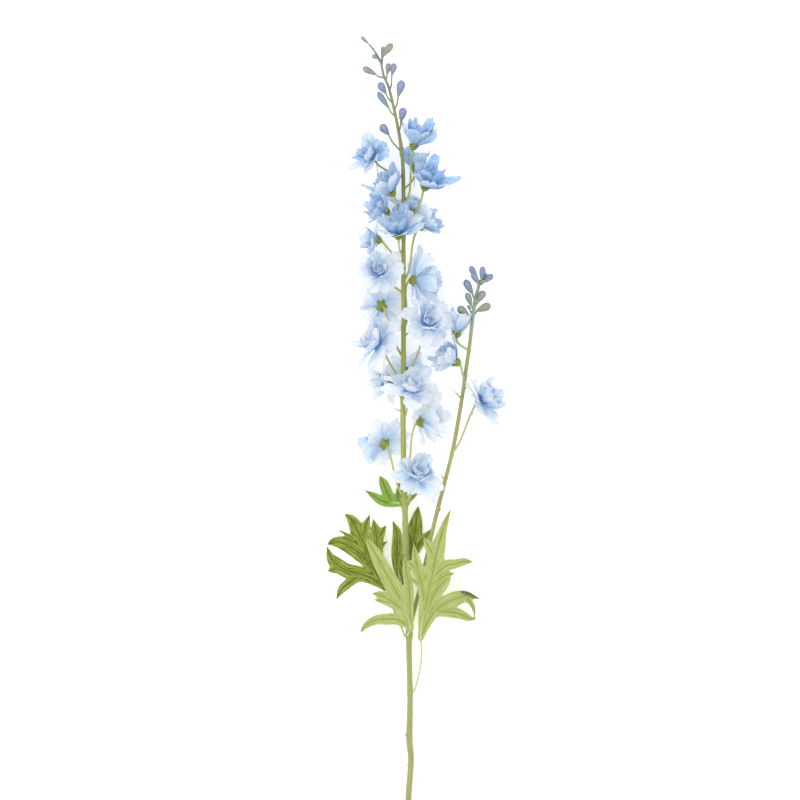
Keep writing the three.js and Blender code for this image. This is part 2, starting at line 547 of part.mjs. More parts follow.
// The green star behind the petals, as the widened end of the bloom's stalk.
function stalkGeometry(bloom, index, stem) {
  const seat = vector(bloom.seat);
  const axis = facing(bloom.turn, bloom.tip);
  const neck = seat.clone().addScaledVector(axis, -CALYX.neckBelow);
  const { centre } = stem.pointAtY(bloom.leaves);
  const curve = stalkCurve(centre, neck, axis);
  const rings = ringsAlong(curve, STALK_TAPER.map((share) => share * STALK_RADIUS), STALK_SIDES);
  const frame = bloomFrame(bloom, index);
  const from = new THREE.Vector3().subVectors(rings.at(-1)[0], neck);
  const inverse = frame.clone().invert();
  const start = from.clone().add(seat).applyMatrix4(inverse);
  const phase = Math.atan2(start.y, start.x);
  const place = (radius, height, step) => {
    const angle = phase + (2 * Math.PI * step) / STALK_SIDES;
    return new THREE.Vector3(radius * Math.cos(angle), radius * Math.sin(angle), height).applyMatrix4(frame);
  };
  const steps = Array.from({ length: STALK_SIDES }, (_, k) => k);
  const second = new THREE.Vector3().subVectors(rings.at(-1)[1], neck);
  const way = Math.sign(new THREE.Vector3().crossVectors(from, second).dot(axis));
  const shoulder = steps.map((k) => place(CALYX.shoulder, -CALYX.shoulderBelow, way * k));
  const rim = steps.map((k) => place(CALYX.rim, -CALYX.rimBelow, way * k));
  const [reach, height] = [CALYX.lobe, CALYX.lobeAbove].map(([closed, open]) =>
    THREE.MathUtils.lerp(closed, open, bloom.open ?? 1),
  );
  const tips = steps.map((k) => place(reach, height, way * (k + 0.5)));
  [...shoulder, ...rim, ...tips].forEach((p) => (p.z = Math.max(p.z, CALYX.lowest)));
  const body = [...rings, shoulder];
  const points = [...body.flat(), ...rim, ...tips];
  const triangles = [];
  const at = (ring, k) => ring * STALK_SIDES + (k % STALK_SIDES);
  for (let ring = 0; ring + 1 < body.length; ring++) {
    for (const k of steps) {
      triangles.push([at(ring, k), at(ring, k + 1), at(ring + 1, k + 1)]);
      triangles.push([at(ring, k), at(ring + 1, k + 1), at(ring + 1, k)]);
    }
  }
  const [low, high, tip] = [body.length - 1, body.length, body.length + 1];
  for (const k of steps) {
    triangles.push(
      [at(low, k), at(low, k + 1), at(tip, k)], [at(high, k + 1), at(high, k), at(tip, k)],
      [at(high, k), at(low, k), at(tip, k)], [at(low, k + 1), at(high, k + 1), at(tip, k)],
    );
  }
  for (let k = 1; k + 1 < STALK_SIDES; k++) {
    triangles.push([0, k + 1, k], [at(high, 0), at(high, k), at(high, k + 1)]);
  }
  return geometryOf(points, triangles);
}

// The spur that hangs behind a delphinium's bloom, from inside the calyx.
function spurGeometry(bloom) {
  const axis = facing(bloom.turn, bloom.tip);
  const start = vector(bloom.seat).addScaledVector(axis, -SPUR.root);
  const down = new THREE.Vector3(0, -1, 0);
  const [middle, end] = [0, 1].map((i) =>
    start
      .clone()
      .addScaledVector(axis, -SPUR.back[i] * SPUR.length)
      .addScaledVector(down, SPUR.droop[i] * SPUR.length),
  );
  return loft(ringsAlong(smoothCurve([start, middle, end]), SPUR.radii, 4));
}

// ---------------------------------------------------------------- buds and bracts

function budGeometry(bud, stem) {
  const foot = vector(bud.foot);
  const tip = vector(bud.tip);
  const axis = tip.clone().sub(foot);
  const length = axis.length();
  axis.normalize();
  const { centre } = stem.pointAtY(bud.leaves);
  const rings = ringsAlong(stalkCurve(centre, foot, axis), BUD_STALK_RADII, BUD_SIDES);
  const last = rings.at(-1);
  for (const [along, share] of BUD_PROFILE) {
    rings.push(
      last.map((point) => {
        const spoke = point.clone().sub(foot).normalize();
        return foot.clone().addScaledVector(axis, along * length).addScaledVector(spoke, share * bud.radius);
      }),
    );
  }
  rings.push([tip]);
  return loft(rings);
}

function bractGeometry({ foot, tip, radius }) {
  const start = vector(foot);
  const end = vector(tip);
  const middle = start.clone().lerp(end, 0.6);
  const rings = ringsAlong(new THREE.LineCurve3(start, middle), [radius, 0.7 * radius], 4);
  return loft([...rings, [end]]);
}

// ---------------------------------------------------------------- leaves

// A lobe is a thin blade with a four-cornered section: two edges, and the rib's two faces.
function lobeGeometry(stations, fold) {
  const ribs = stations.map(vector);
  const rings = stations.slice(0, -1).map(([, , , halfWidth], i) => {
    const tangent = ribs[i + 1].clone().sub(ribs[Math.max(i - 1, 0)]).normalize();
    const side = new THREE.Vector3().crossVectors(new THREE.Vector3(0, 0, 1), tangent).normalize();
    const up = new THREE.Vector3().crossVectors(tangent, side);
    const at = (out, lift) => ribs[i].clone().addScaledVector(side, out).addScaledVector(up, lift);
    const edge = fold * halfWidth;
    const ring = [at(halfWidth, edge), at(0, RIB / 2), at(-halfWidth, edge), at(0, -RIB / 2)];
    ring.forEach((point) => (point.z = Math.max(point.z, 0)));
    if (ring[3].z === 0) ring[1].z = Math.max(ring[1].z, PRESSED);
    return ring;
  });
  const tip = ribs.at(-1);
  tip.z = Math.max(tip.z, 0.1);
  return loft([...rings, [tip]], 2);
}

function leafGeometries(leaf, stem) {
  const { centre, radius } = stem.pointAtY(leaf.stalk.leaves);
  const side = vector(leaf.stalk.side).normalize();
  const start = centre.clone().addScaledVector(side, radius + GAP);
  const knee = start.clone().addScaledVector(side, LEAF_STALK_KNEE);
  const stations = [start, knee, ...leaf.stalk.via.map(vector), vector(leaf.stalk.end)];
  const steps = 3 + 2 * leaf.stalk.via.length;
  const radii = Array.from({ length: steps + 1 }, (_, i) => LEAF_STALK_RADIUS * (i === 0 ? 1.25 : 1));
  const stalk = loft(ringsAlong(smoothCurve(stations), radii, STALK_SIDES));
  return [stalk, ...leaf.lobes.map((lobe) => lobeGeometry(lobe, leaf.fold))];
}

// ---------------------------------------------------------------- the plant

const green = new THREE.MeshStandardMaterial({ color: 0xa9b163, roughness: 0.6, metalness: 0 });
const paleLeaf = new THREE.MeshStandardMaterial({ color: 0xa5bd5c, roughness: 0.65, metalness: 0 });
const deepLeaf = new THREE.MeshStandardMaterial({ color: 0x6f8f2c, roughness: 0.65, metalness: 0 });
const petalBlue = new THREE.MeshStandardMaterial({ color: 0xa9c4ec, roughness: 0.7, metalness: 0 });

const mainStem = stemPath(MAIN_STEM);
const sideStem = stemPath(SIDE_STEM);
const stemOf = (bloom) => (ON_SIDE_STEM.test(bloom.name) ? sideStem : mainStem);

const plant = new THREE.Group();

plant.add(
  meshOf(
    'stem',
    joined([
      stemGeometry(mainStem, MAIN_SIDES),
      stemGeometry(sideStem, SIDE_SIDES),
      ...BLOOMS.flatMap((bloom, index) => [stalkGeometry(bloom, index, stemOf(bloom)), spurGeometry(bloom)]),
      ...MAIN_BUDS.map((bud) => budGeometry(bud, mainStem)),
      ...SIDE_BUDS.map((bud) => budGeometry(bud, sideStem)),
      ...BRACTS.map(bractGeometry),
    ]),
    green,
  ),
);
BLOOMS.forEach((bloom, index) => {
  plant.add(meshOf(bloom.name, solidOf(bloomGeometry(bloom, index)), petalBlue));
});
for (const leaf of LEAVES) {
  const material = leaf.name.startsWith('leaf_front') ? paleLeaf : deepLeaf;
  plant.add(meshOf(leaf.name, joined(leafGeometries(leaf, mainStem)), material));
}

export default plant;
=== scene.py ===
"""A cut stem of double delphinium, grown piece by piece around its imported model.

The tables repeat the places of the solid model, in millimetres. Each bloom, leaf and stem of the solid
model is replaced by finer pieces that keep its form.
"""

import math
import random
from collections import namedtuple
from functools import partial

import bpy
import numpy as np
from mathutils import Matrix, Quaternion, Vector


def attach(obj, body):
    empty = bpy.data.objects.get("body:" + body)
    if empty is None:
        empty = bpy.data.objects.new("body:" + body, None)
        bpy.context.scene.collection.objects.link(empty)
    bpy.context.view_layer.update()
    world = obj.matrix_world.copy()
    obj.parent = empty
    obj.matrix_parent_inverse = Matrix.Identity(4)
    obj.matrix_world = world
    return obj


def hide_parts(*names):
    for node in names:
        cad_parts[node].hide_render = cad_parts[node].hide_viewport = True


bl_info = {
    "name": "Delphinium flower spike",
    "version": (1, 0, 0),
    "blender": (4, 5, 0),
    "location": "3D View > Sidebar > Delphinium",
    "description": "Grows the stems, buds, blooms and leaves of a cut delphinium around its solid model",
    "category": "Add Mesh",
}

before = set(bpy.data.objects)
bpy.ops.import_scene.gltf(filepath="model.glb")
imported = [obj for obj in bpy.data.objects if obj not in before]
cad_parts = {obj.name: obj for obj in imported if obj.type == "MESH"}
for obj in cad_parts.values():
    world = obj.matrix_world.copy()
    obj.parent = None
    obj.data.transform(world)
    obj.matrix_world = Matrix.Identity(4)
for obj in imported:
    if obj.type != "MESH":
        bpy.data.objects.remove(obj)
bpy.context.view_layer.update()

MM = 0.001
UP = Vector((0, 0, 1))

# ------------------------------------------------------------------ the plant's own places, in mm

MAIN_STEM = [  # x, y, z, radius from the cut end to the tip
    (-6.5, -431, 3.5, 3.45), (-6, -405, 3.8, 3.35), (-3.4, -367, 4.2, 3.25), (-5.2, -343, 5, 3.55),
    (-4.4, -299, 6.7, 3.15), (-5.5, -249, 9.2, 3.15), (-5.5, -217, 11.1, 3.55), (-7, -167, 13.8, 3.1),
    (-9, -123, 16.6, 3), (-10.5, -78, 19.5, 3.2), (-11.5, -35, 22, 3), (-12.3, 25, 24.5, 2.8),
    (-11.6, 64, 26, 2.7), (-11.6, 141, 28, 2.4), (-11.6, 196, 29.5, 2.2), (-11.6, 251, 31, 2.1),
    (-12.3, 289, 32, 2), (-14.5, 311, 32.5, 2.05), (-18.9, 336, 33, 1.75), (-22.9, 354.5, 33.5, 1.65),
    (-27.7, 374, 33.5, 1.55), (-33.5, 388, 33.5, 1.45), (-36.6, 402, 33, 1.35), (-42.5, 413, 32.5, 1.25),
    (-48.4, 421, 32, 1.2),
]
SIDE_STEM = [  # the same for the side shoot
    (-4.5, -220, 11.2, 2.3), (2.9, -191, 14.5, 2.3), (11, -156, 17, 2.3), (18.7, -120.5, 18, 2.3),
    (25.5, -92, 18.5, 2.4), (40.2, -35, 19.5, 2.2), (47, -2, 20, 2.2), (53.4, 37, 20, 2.1),
    (57.1, 63, 20, 2.1), (60.9, 88, 20, 2), (64, 115, 20, 2), (67.2, 140, 19.5, 1.9), (71, 155, 19, 1.7),
    (73.2, 163, 18.5, 1.5),
]
STEM_RIDGES, RIDGE_DEPTH = 7, 0.035
NODE_SWELL, NODE_REACH = 0.12, 4  # how much a stem thickens where a stalk leaves it, and how far

# seat: where the petals spring from. turn, tip: the way the face looks, in degrees round from +X and
# up from the table. across: its width. leaves: the y on the stem where the stalk starts. blue: from
# 0, nearly white with a blue heart, to 1, blue to the rim. open: 1 is wide open.
Bloom = namedtuple("Bloom", "name seat turn tip across leaves blue open", defaults=(1.0,))
BLOOMS = [
    Bloom("bloom_01", (0, 311, 38.5), 70, 12, 55, 246, 0.85, 0.2),
    Bloom("bloom_02", (-46, 297.5, 33), 137, 36, 47, 275, 0.6, 0.8),
    Bloom("bloom_03", (-25, 259, 44), 124, 10, 56, 228, 0.6, 0.35),
    Bloom("bloom_04", (-31.5, 238, 18), 150, 0, 46, 214, 0.66, 0.55),
    Bloom("bloom_05", (1.5, 286, 19), 82, -20, 42, 262, 0.84, 0.35),
    Bloom("bloom_06", (12.5, 265.5, 42.5), 66, 23, 56, 218, 0.98, 0.45),
    Bloom("bloom_07", (9, 222, 28), 32, 0, 43, 162, 0.65, 0.35),
    Bloom("bloom_08", (-17.5, 212, 50), 97, 26, 55, 190, 0.5, 0.6),
    Bloom("bloom_09", (-41, 207, 23), 168, -6, 36, 178, 0.45, 0.8),
    Bloom("bloom_10", (-37.5, 172, 37), 100, 70, 46, 148, 0.18),
    Bloom("bloom_11", (-0.5, 162.5, 22), 3, -28, 58, 110, 0.42, 0.6),
    Bloom("bloom_12", (-36.5, 134.5, 18.5), 175, -62, 52, 78, 0.15),
    Bloom("bloom_13", (14, 114.5, 46), 58, 58, 52, 54, 0.22),
    Bloom("bloom_14", (-38.5, 91, 40), 139, 31, 54, 51, 0.28),
    Bloom("bloom_15", (-7, 61.5, 12.5), 79, -56, 38, 39, 0.32),
    Bloom("bloom_16", (-27.5, 52, 13), 190, -20, 42, 30, 0.0),
    Bloom("bloom_17", (-4.5, 41, 44), 62, 40, 54, 10, 0.22),
    Bloom("bloom_18", (8, 6.5, 22), 7, -30, 56, -52, 0.1, 0.75),
    Bloom("bloom_19", (-33, -17.5, 21), 152, -50, 50, -76, 0.36),
    Bloom("bloom_20", (1, -53, 40), 58, 46, 52, -84, 0.22),
    Bloom("bloom_21", (-4.5, 240.5, 9.5), 84, -30, 33, 212, 0.75),
    Bloom("side_bloom_1", (47.5, 105, 21.5), 84, 0, 45, 85, 0.5, 0.15),
    Bloom("side_bloom_2", (46, 73, 25), 146, 4, 50, 54, 0.45, 0.35),
    Bloom("side_bloom_3", (72.5, 29, 24), 32, 16, 54, -28, 0.34),
]

# One whorl of five petals. Lengths and widths are shares of the bloom's width. lean: the rib's angle
# from the bloom's axis, in degrees, at the root and at the tip, when wide open, and closed: the same as
# a closed cup. solid: its place among the whorls of the solid model, which its petals follow one by
# one. The other three are a second disc, a second cup, and small petals that close the heart. level:
# the height that it springs from. heart: how far its colour is that of the bloom's heart.
Whorl = namedtuple("Whorl", "solid level step length half lean closed cup ruffle notch curl heart")
WHORLS = [
    Whorl(0, 0, 0, 0.5, 0.2, (80, 102), (56, 2), 0.15, 0.05, 0.1, 0.1, 0.0),
    Whorl(1, 1, 1, 0.44, 0.165, (62, 16), (40, -4), 0.2, 0.05, 0.08, 0.0, 0.5),
    Whorl(2, 2, 0, 0.3, 0.08, (34, 6), (24, 0), 0.4, 0.05, 0.06, 0.0, 0.8),
    Whorl(None, 0.4, 1, 0.49, 0.135, (76, 96), (50, 0), 0.18, 0.06, 0.04, 0.12, 0.0),
    Whorl(None, 1.4, 0, 0.42, 0.13, (56, 22), (34, -2), 0.2, 0.06, 0.05, 0.0, 0.4),
    Whorl(None, 2.3, 1, 0.15, 0.06, (12, -38), (6, -20), 0.3, 0.04, 0.03, 0.0, 0.9),
]
PETALS = 5
PETAL_GRID = (14, 16)  # cells across and along a petal
PETAL_ALONG = [0, 0.1, 0.25, 0.42, 0.6, 0.75, 0.88, 1]
PETAL_HALF = [0.17, 0.27, 0.5, 0.76, 0.94, 1, 0.97, 0.84]  # shares of its half width at those places
PETAL_WIDTH, PETAL_LENGTH = 20, 25  # of a middling petal, which its veins and its painted crease shade are scaled to
OWN_BLUE = (-0.35, 0.3)  # how far a petal's blue departs from its bloom's
LOOSE = 2.2  # how much further the whorls that only this model has depart from the rule
HUB_RADIUS = 2.3
HUB_STEP = 0.9
SOLID_SPIN = 47  # degrees that each bloom is turned on from the last
PINWHEEL = 0.2
CLOSED_WIDTH = 0.72
WOBBLE_LEAN, WOBBLE_TURN, WOBBLE_LENGTH = 8, 4, 0.2

STALK_RADIUS = 1.1
STALK_STEPS, BUD_STALK_STEPS = 14, 10
STALK_LEAVE, STALK_LIFT, STALK_ARRIVE, STALK_SAG = 0.3, 0.4, 0.22, 0.2  # shares of the stalk's reach
NECK_BELOW = 5.6  # from a bloom's seat to the end of its stalk
CUP_RADIUS, CUP_TAPER, CUP_DEPTH, CUP_RISE, CUP_LEVEL = 4.8, 1.3, 4.6, 1.3, -1.7
SEPAL_HALF, SEPAL_ROOT = 3.1, (3.6, -2.8)  # half its width; its root, out from the axis and up along it
SEPAL_REACH, SEPAL_LEAN, SEPAL_BEND = (6, 4.4), (20, 50), 12  # pairs: under a closed and an open bloom
SPUR_LENGTH, SPUR_ROOT = 15, 1.6
SPUR_BACK, SPUR_DROOP, SPUR_RADII = (0.42, 0.6), (0.12, 0.75), (0.7, 0.6, 0.35)

# foot, tip, radius, the y on the stem where its stalk starts, and how green it is from 0 to 1
Bud = namedtuple("Bud", "foot tip radius leaves green")
MAIN_BUDS = [
    Bud((-27.5, 322, 37.5), (-36.5, 333.5, 40), 4.6, 304, 0.05),
    Bud((-14.5, 336.5, 37), (-11.5, 352, 41), 4.5, 326, 0.0),
    Bud((-17.5, 364, 37), (-13, 382, 41), 4.6, 350, 0.1),
    Bud((-27, 351, 29), (-40, 370, 25), 3.6, 342, 0.05),
    Bud((-30.5, 367, 38), (-38.5, 379.5, 42), 4.2, 357, 0.0),
    Bud((-24.5, 387, 36), (-21.5, 401, 39), 3.5, 372, 0.15),
    Bud((-29.5, 389, 30), (-27.5, 401.5, 27), 3.4, 378, 0.7),
    Bud((-41, 388, 36), (-56.5, 396, 39), 3.7, 384, 0.6),
    Bud((-34.5, 408, 35), (-24, 422.5, 38), 4, 399, 1.0),
    Bud((-35.5, 409.5, 30), (-33.5, 420, 28), 2.7, 402, 0.2),
    Bud((-39.5, 406, 36), (-46, 409.5, 38.5), 2.6, 402, 0.9),
    Bud((-49.2, 421.8, 32), (-58.5, 430.7, 32.5), 2, 419, 1.0),
]
SIDE_BUDS = [
    Bud((61, 122.5, 21), (48.5, 133.5, 24), 4.5, 112, 1.0),
    Bud((68.5, 128.5, 17), (84.5, 136, 15), 4.5, 122, 1.0),
    Bud((62.5, 129, 17), (59.5, 135.5, 15.5), 1.7, 124, 0.8),
    Bud((63.5, 134, 22), (58, 149, 24.5), 3.5, 130, 0.7),
    Bud((70, 138, 22), (77.5, 151, 24), 4.2, 134, 0.75),
    Bud((65, 147, 17), (56, 163.5, 15), 4.1, 141, 0.1),
    Bud((72, 158, 21), (64, 171, 23.5), 3.5, 152, 0.0),
    Bud((69.5, 164.5, 16.5), (62, 178.5, 15), 3.5, 157, 0.0),
    Bud((74, 163, 20.5), (76, 178, 23), 3.4, 158, 0.0),
    Bud((75, 162, 16), (79.5, 171, 13.5), 3.2, 158, 0.1),
    Bud((76.5, 160, 18.5), (87, 169, 19), 3.5, 157, 0.0),
]
BUD_STALK_RADIUS = 0.95
BUD_ALONG = [0, 0.1, 0.3, 0.55, 0.75, 0.9, 0.97, 1]
BUD_WIDTH = [0.2, 0.34, 0.68, 0.94, 1, 0.74, 0.4, 0]  # shares of its radius at those shares of its length
BUD_SEAMS, SEAM_DEPTH = 5, 0.07

# foot, tip, radius
BRACTS = [
    ((-5, -343, 6), (-10.5, -337, 7.5), 1.5), ((-3.6, -374, 4.5), (-8.4, -371, 5.5), 1.2),
    ((-12, 18, 24.3), (-24, 23, 28), 0.9), ((-11.6, 100, 27), (-3.5, 108, 29.5), 1.1),
    ((51.6, 33, 20), (42, 44, 24), 0.8), ((52.8, 38, 20), (61, 50, 18), 0.8),
    ((25.5, -93, 18.5), (30.5, -88, 20), 1.3), ((34, -57, 19), (29.5, -50.5, 20.5), 1.1),
]

# Each lobe is a rib of x, y, z, half width from the palm to its point. stalk: the y where it leaves
# the stem, the side it leaves by, and the points to its end. fold lifts both edges of a lobe. turned:
# x, y and reach of the places painted with the dull underside in shade; the blade is not turned there.
Leaf = namedtuple("Leaf", "name slot fold leaves side stalk lobes turned", defaults=((),))
LEAVES = [
    Leaf("leaf_back_left", "deep_leaf", 0.12, -229, (-1, 0, -0.35),
         [(-17, -212, 9), (-26, -192, 6), (-33, -171, 4.5)], [
        [(-31, -176, 4, 3), (-44, -150, 6, 6.5), (-54, -130, 9, 8), (-61.5, -115, 11, 8.2),
         (-68, -102, 12, 5.5), (-76.8, -94.5, 9, 0)],
        [(-56, -120, 10, 5), (-53, -107, 12, 4.2), (-48.4, -94.8, 15, 0)],
        [(-31, -176, 4, 3), (-37, -150, 7, 4.5), (-40.5, -130, 9, 6), (-41.5, -116, 9.5, 6),
         (-45, -100.2, 8, 0)],
        [(-39, -124, 8.5, 4.5), (-35.5, -115, 11, 4), (-30.3, -107, 14, 0)],
        [(-38, -131, 8.8, 3.5), (-28.6, -125, 8.5, 0)],
        [(-31, -176, 4, 3.5), (-49, -150, 7.5, 6.5), (-58, -140.5, 10, 8), (-69.5, -131.5, 13, 8.3),
         (-80, -126.5, 15, 7), (-89, -125.8, 13.5, 4.2), (-95.5, -128.7, 9, 0)],
        [(-31, -176, 4, 3.5), (-49, -165, 1.5, 7), (-63.7, -160.2, -1, 8), (-75, -157.4, -1.5, 8),
         (-85.3, -150.6, -1.5, 7.5), (-92.1, -142.7, 0, 4.5), (-96, -131, 4, 0)],
        [(-80, -154, -1, 5), (-88, -156, -1, 4.5), (-95.2, -158, 0, 0)],
        [(-60, -163, 0.7, 5), (-72.8, -172, 1.5, 5), (-80.2, -179, 1.8, 4), (-85.8, -189.7, 1.5, 0)],
        [(-66, -122, 10, 1.6), (-76.8, -116, 13, 1.1), (-84.7, -111.5, 15, 0)],
    ]),
    Leaf("leaf_back_right", "deep_leaf", 0.12, -190, (-0.3, 0, -1), [(-10, -181, 7.5), (-15, -168, 5.5)], [
        [(-14, -171, 5, 2.5), (-18.5, -150, 5, 5.5), (-18.5, -130, 6.5, 6.3), (-19, -115, 8.5, 4.5),
         (-23.7, -101.9, 10, 0)],
        [(-14, -171, 5, 3), (-5, -141, 4, 5.5), (0, -122, 5, 8), (2.2, -106, 6.5, 7), (3.5, -95, 8, 4),
         (4.8, -86, 8.5, 0)],
        [(-4, -122, 4.6, 4), (-10, -107, 6, 3), (-11.5, -99, 7, 0)],
        [(-13, -165, 4.6, 3), (4, -132, 3, 4.5), (14, -119, 4, 3.5), (25, -108, 6, 0)],
    ]),
    Leaf("leaf_front_left", "pale_leaf", 0.14, -228, (-0.25, 0, 1), [(-4.5, -217, 19.5)], [
        [(-4, -221, 19, 3), (-15, -189, 26, 8), (-28.5, -164, 31, 8.5), (-42, -139, 34, 6.5),
         (-54, -118, 36, 0)],
        [(-4, -221, 19, 3), (-5, -180, 25.5, 4.8), (-8.5, -157, 29.5, 4.2), (-10.5, -137, 33, 0)],
        [(-9, -202, 22, 5), (-26, -190, 25, 6.5), (-37, -184, 26, 4.5), (-46.2, -181.8, 27, 0)],
        [(-26, -192, 25, 4.5), (-36, -190.5, 24, 2.6), (-44.5, -189, 23, 0)],
        [(-4, -219, 19, 3), (-19, -211, 21, 6), (-31, -210.7, 21, 6.2), (-42.5, -211.8, 18.5, 5.2),
         (-53.5, -218.3, 14, 3.4), (-59.5, -227, 9, 0)],
    ]),
    Leaf("leaf_front_right", "pale_leaf", 0.14, -290, (1, 0, 0.25),
         [(5.5, -272, 12), (8.5, -250, 17.5), (7.6, -226, 22)], [
        [(7.5, -231, 21, 2.5), (12, -200, 26, 7), (19, -167, 32, 9.5), (24.7, -138, 35.5, 9),
         (28.3, -124.5, 36.5, 6.8), (31.5, -113, 37, 4.5), (35.1, -102, 37.5, 3.1), (40.5, -88.8, 38, 0)],
        [(24, -145, 34.5, 6), (16, -130, 37, 4.5), (10, -119, 39, 0)],
        [(20, -165, 31.5, 6), (35, -151.7, 33, 6), (44, -149.7, 33, 5.3), (55.3, -147, 31.5, 4),
         (65.5, -147.2, 27, 0)],
        [(20, -173, 31, 4.5), (33, -163, 30, 5), (44.5, -159.7, 29, 0)],
        [(10, -215, 24, 3), (22, -184, 28, 7), (32, -170, 29.5, 7), (40, -165, 29, 0)],
        [(7.5, -231, 21, 2.5), (12, -200, 25, 3.2), (9, -175, 28.5, 5.5), (3.5, -152, 32, 6),
         (-0.9, -125, 34, 0)],
        [(5, -160, 30.5, 5), (-3, -150, 33, 3.5), (-8, -146, 34.5, 0)],
        [(6, -172, 29, 4), (0, -168, 29.5, 2.5), (-4.5, -166, 30.5, 0)],
        [(7.5, -231, 21, 2.5), (19, -207, 22.5, 5.5), (30, -196.5, 23.5, 7.5), (42, -189.5, 24, 8.5),
         (52, -186, 23, 7), (60.5, -184.8, 18, 3.8), (73.4, -188.6, 9, 0)],
        [(24, -202, 23, 5), (38, -202.5, 20, 6), (50, -205, 15, 5.5), (60, -209.5, 10, 3.6),
         (68, -211.2, 7, 0)],
        [(58, -187, 18.5, 4), (65, -197, 13, 2.4), (67.5, -210, 8, 0)],
    ], [
        (54, -180.5, 2.4), (58, -181.8, 3), (62, -183.6, 3.2), (66, -185.6, 3.2), (70, -187.4, 3.2),
        (74, -189, 3.2),
    ]),
    Leaf("leaf_upper_left", "deep_leaf", 0.16, -86, (-1, 0, -0.2), [(-17.5, -82.5, 19.5)], [
        [(-16.5, -83, 19.5, 2.5), (-27, -82.5, 18.5, 4.8), (-36, -80, 18, 5.2), (-44, -75, 18.5, 4),
         (-54.5, -68.2, 20.5, 0)],
        [(-23, -83, 19.1, 4), (-29, -72, 20.5, 5.8), (-33.5, -61, 22.5, 5), (-38, -52.2, 24.5, 0)],
        [(-17.5, -84, 19.5, 2.5), (-16.8, -70, 16.5, 3.2), (-16, -58, 14.5, 0)],
    ]),
    Leaf("leaf_upper_right", "deep_leaf", 0.16, -84, (1, 0, -0.3), [(-5, -80, 18.5)], [
        [(-5.4, -80, 18.5, 2.1), (-1, -69.5, 17.5, 3), (2.5, -60, 16.5, 0)],
        [(-5.4, -80, 18.5, 2.1), (1, -72, 17.5, 3.2), (10, -67, 17.5, 0)],
    ]),
]
LEAF_STALK_RADIUS = 1.1
LOBE_BLEND = 1.2  # how far the outlines of two lobes flow into one another
MIDRIB_WIDTH, TWIG_WIDTH, TWIG_REACH = 0.9, 0.45, 6
# What a leaf's material reads at each vertex: 0 to 1 for veins, nearness to the rim, the painted
# shaded underside and the stalk, and the distances in mm from the lobe's rib and along it.
LEAF_VALUES = ("vein", "rim", "aside", "ahead", "turned", "stalk")

# The camera looks straight down on this point, over a square of this side.
VIEW_CENTRE = (-15.4, 30.8, 30)
VIEW_SIDE = 880

# The stage, in metres and watts. Each lamp: its place, power and side.
FLOOR_SIDE = 30
LAMPS = {
    "key_light": ((-1.1, 0.7, 2.0), 16, 1.6),
    "fill_light": ((1.4, -0.6, 1.8), 4, 2.2),
}
CAMERA_DISTANCE = 7
SENSOR_WIDTH = 36  # in mm


# ------------------------------------------------------------------ colour and settings


def linear(code):
    """The linear colour, with alpha, of an sRGB hex code."""
    shares = [int(code[i:i + 2], 16) / 255 for i in (1, 3, 5)]
    return (*[s / 12.92 if s <= 0.04045 else ((s + 0.055) / 1.055) ** 2.4 for s in shares], 1.0)


def colour_setting(name, description, code):
    return bpy.props.FloatVectorProperty(
        name=name, description=description, subtype="COLOR", size=4, min=0, max=1, default=linear(code)
    )


def length_setting(name, description, millimetres):
    return bpy.props.FloatProperty(
        name=name, description=description, unit="LENGTH", min=0, precision=5, default=millimetres * MM
    )


class DelphiniumSizes(bpy.types.PropertyGroup):
    petal_thickness: length_setting("Petal thickness", "Thickness of a petal", 0.25)
    leaf_thickness: length_setting("Leaf thickness", "Thickness of a leaf blade", 0.4)
    leaf_grid: length_setting("Leaf grid", "Side of the cells that a leaf blade is divided into", 0.8)
    vein_spacing: length_setting("Vein spacing", "Distance between the side veins of a leaf", 6)


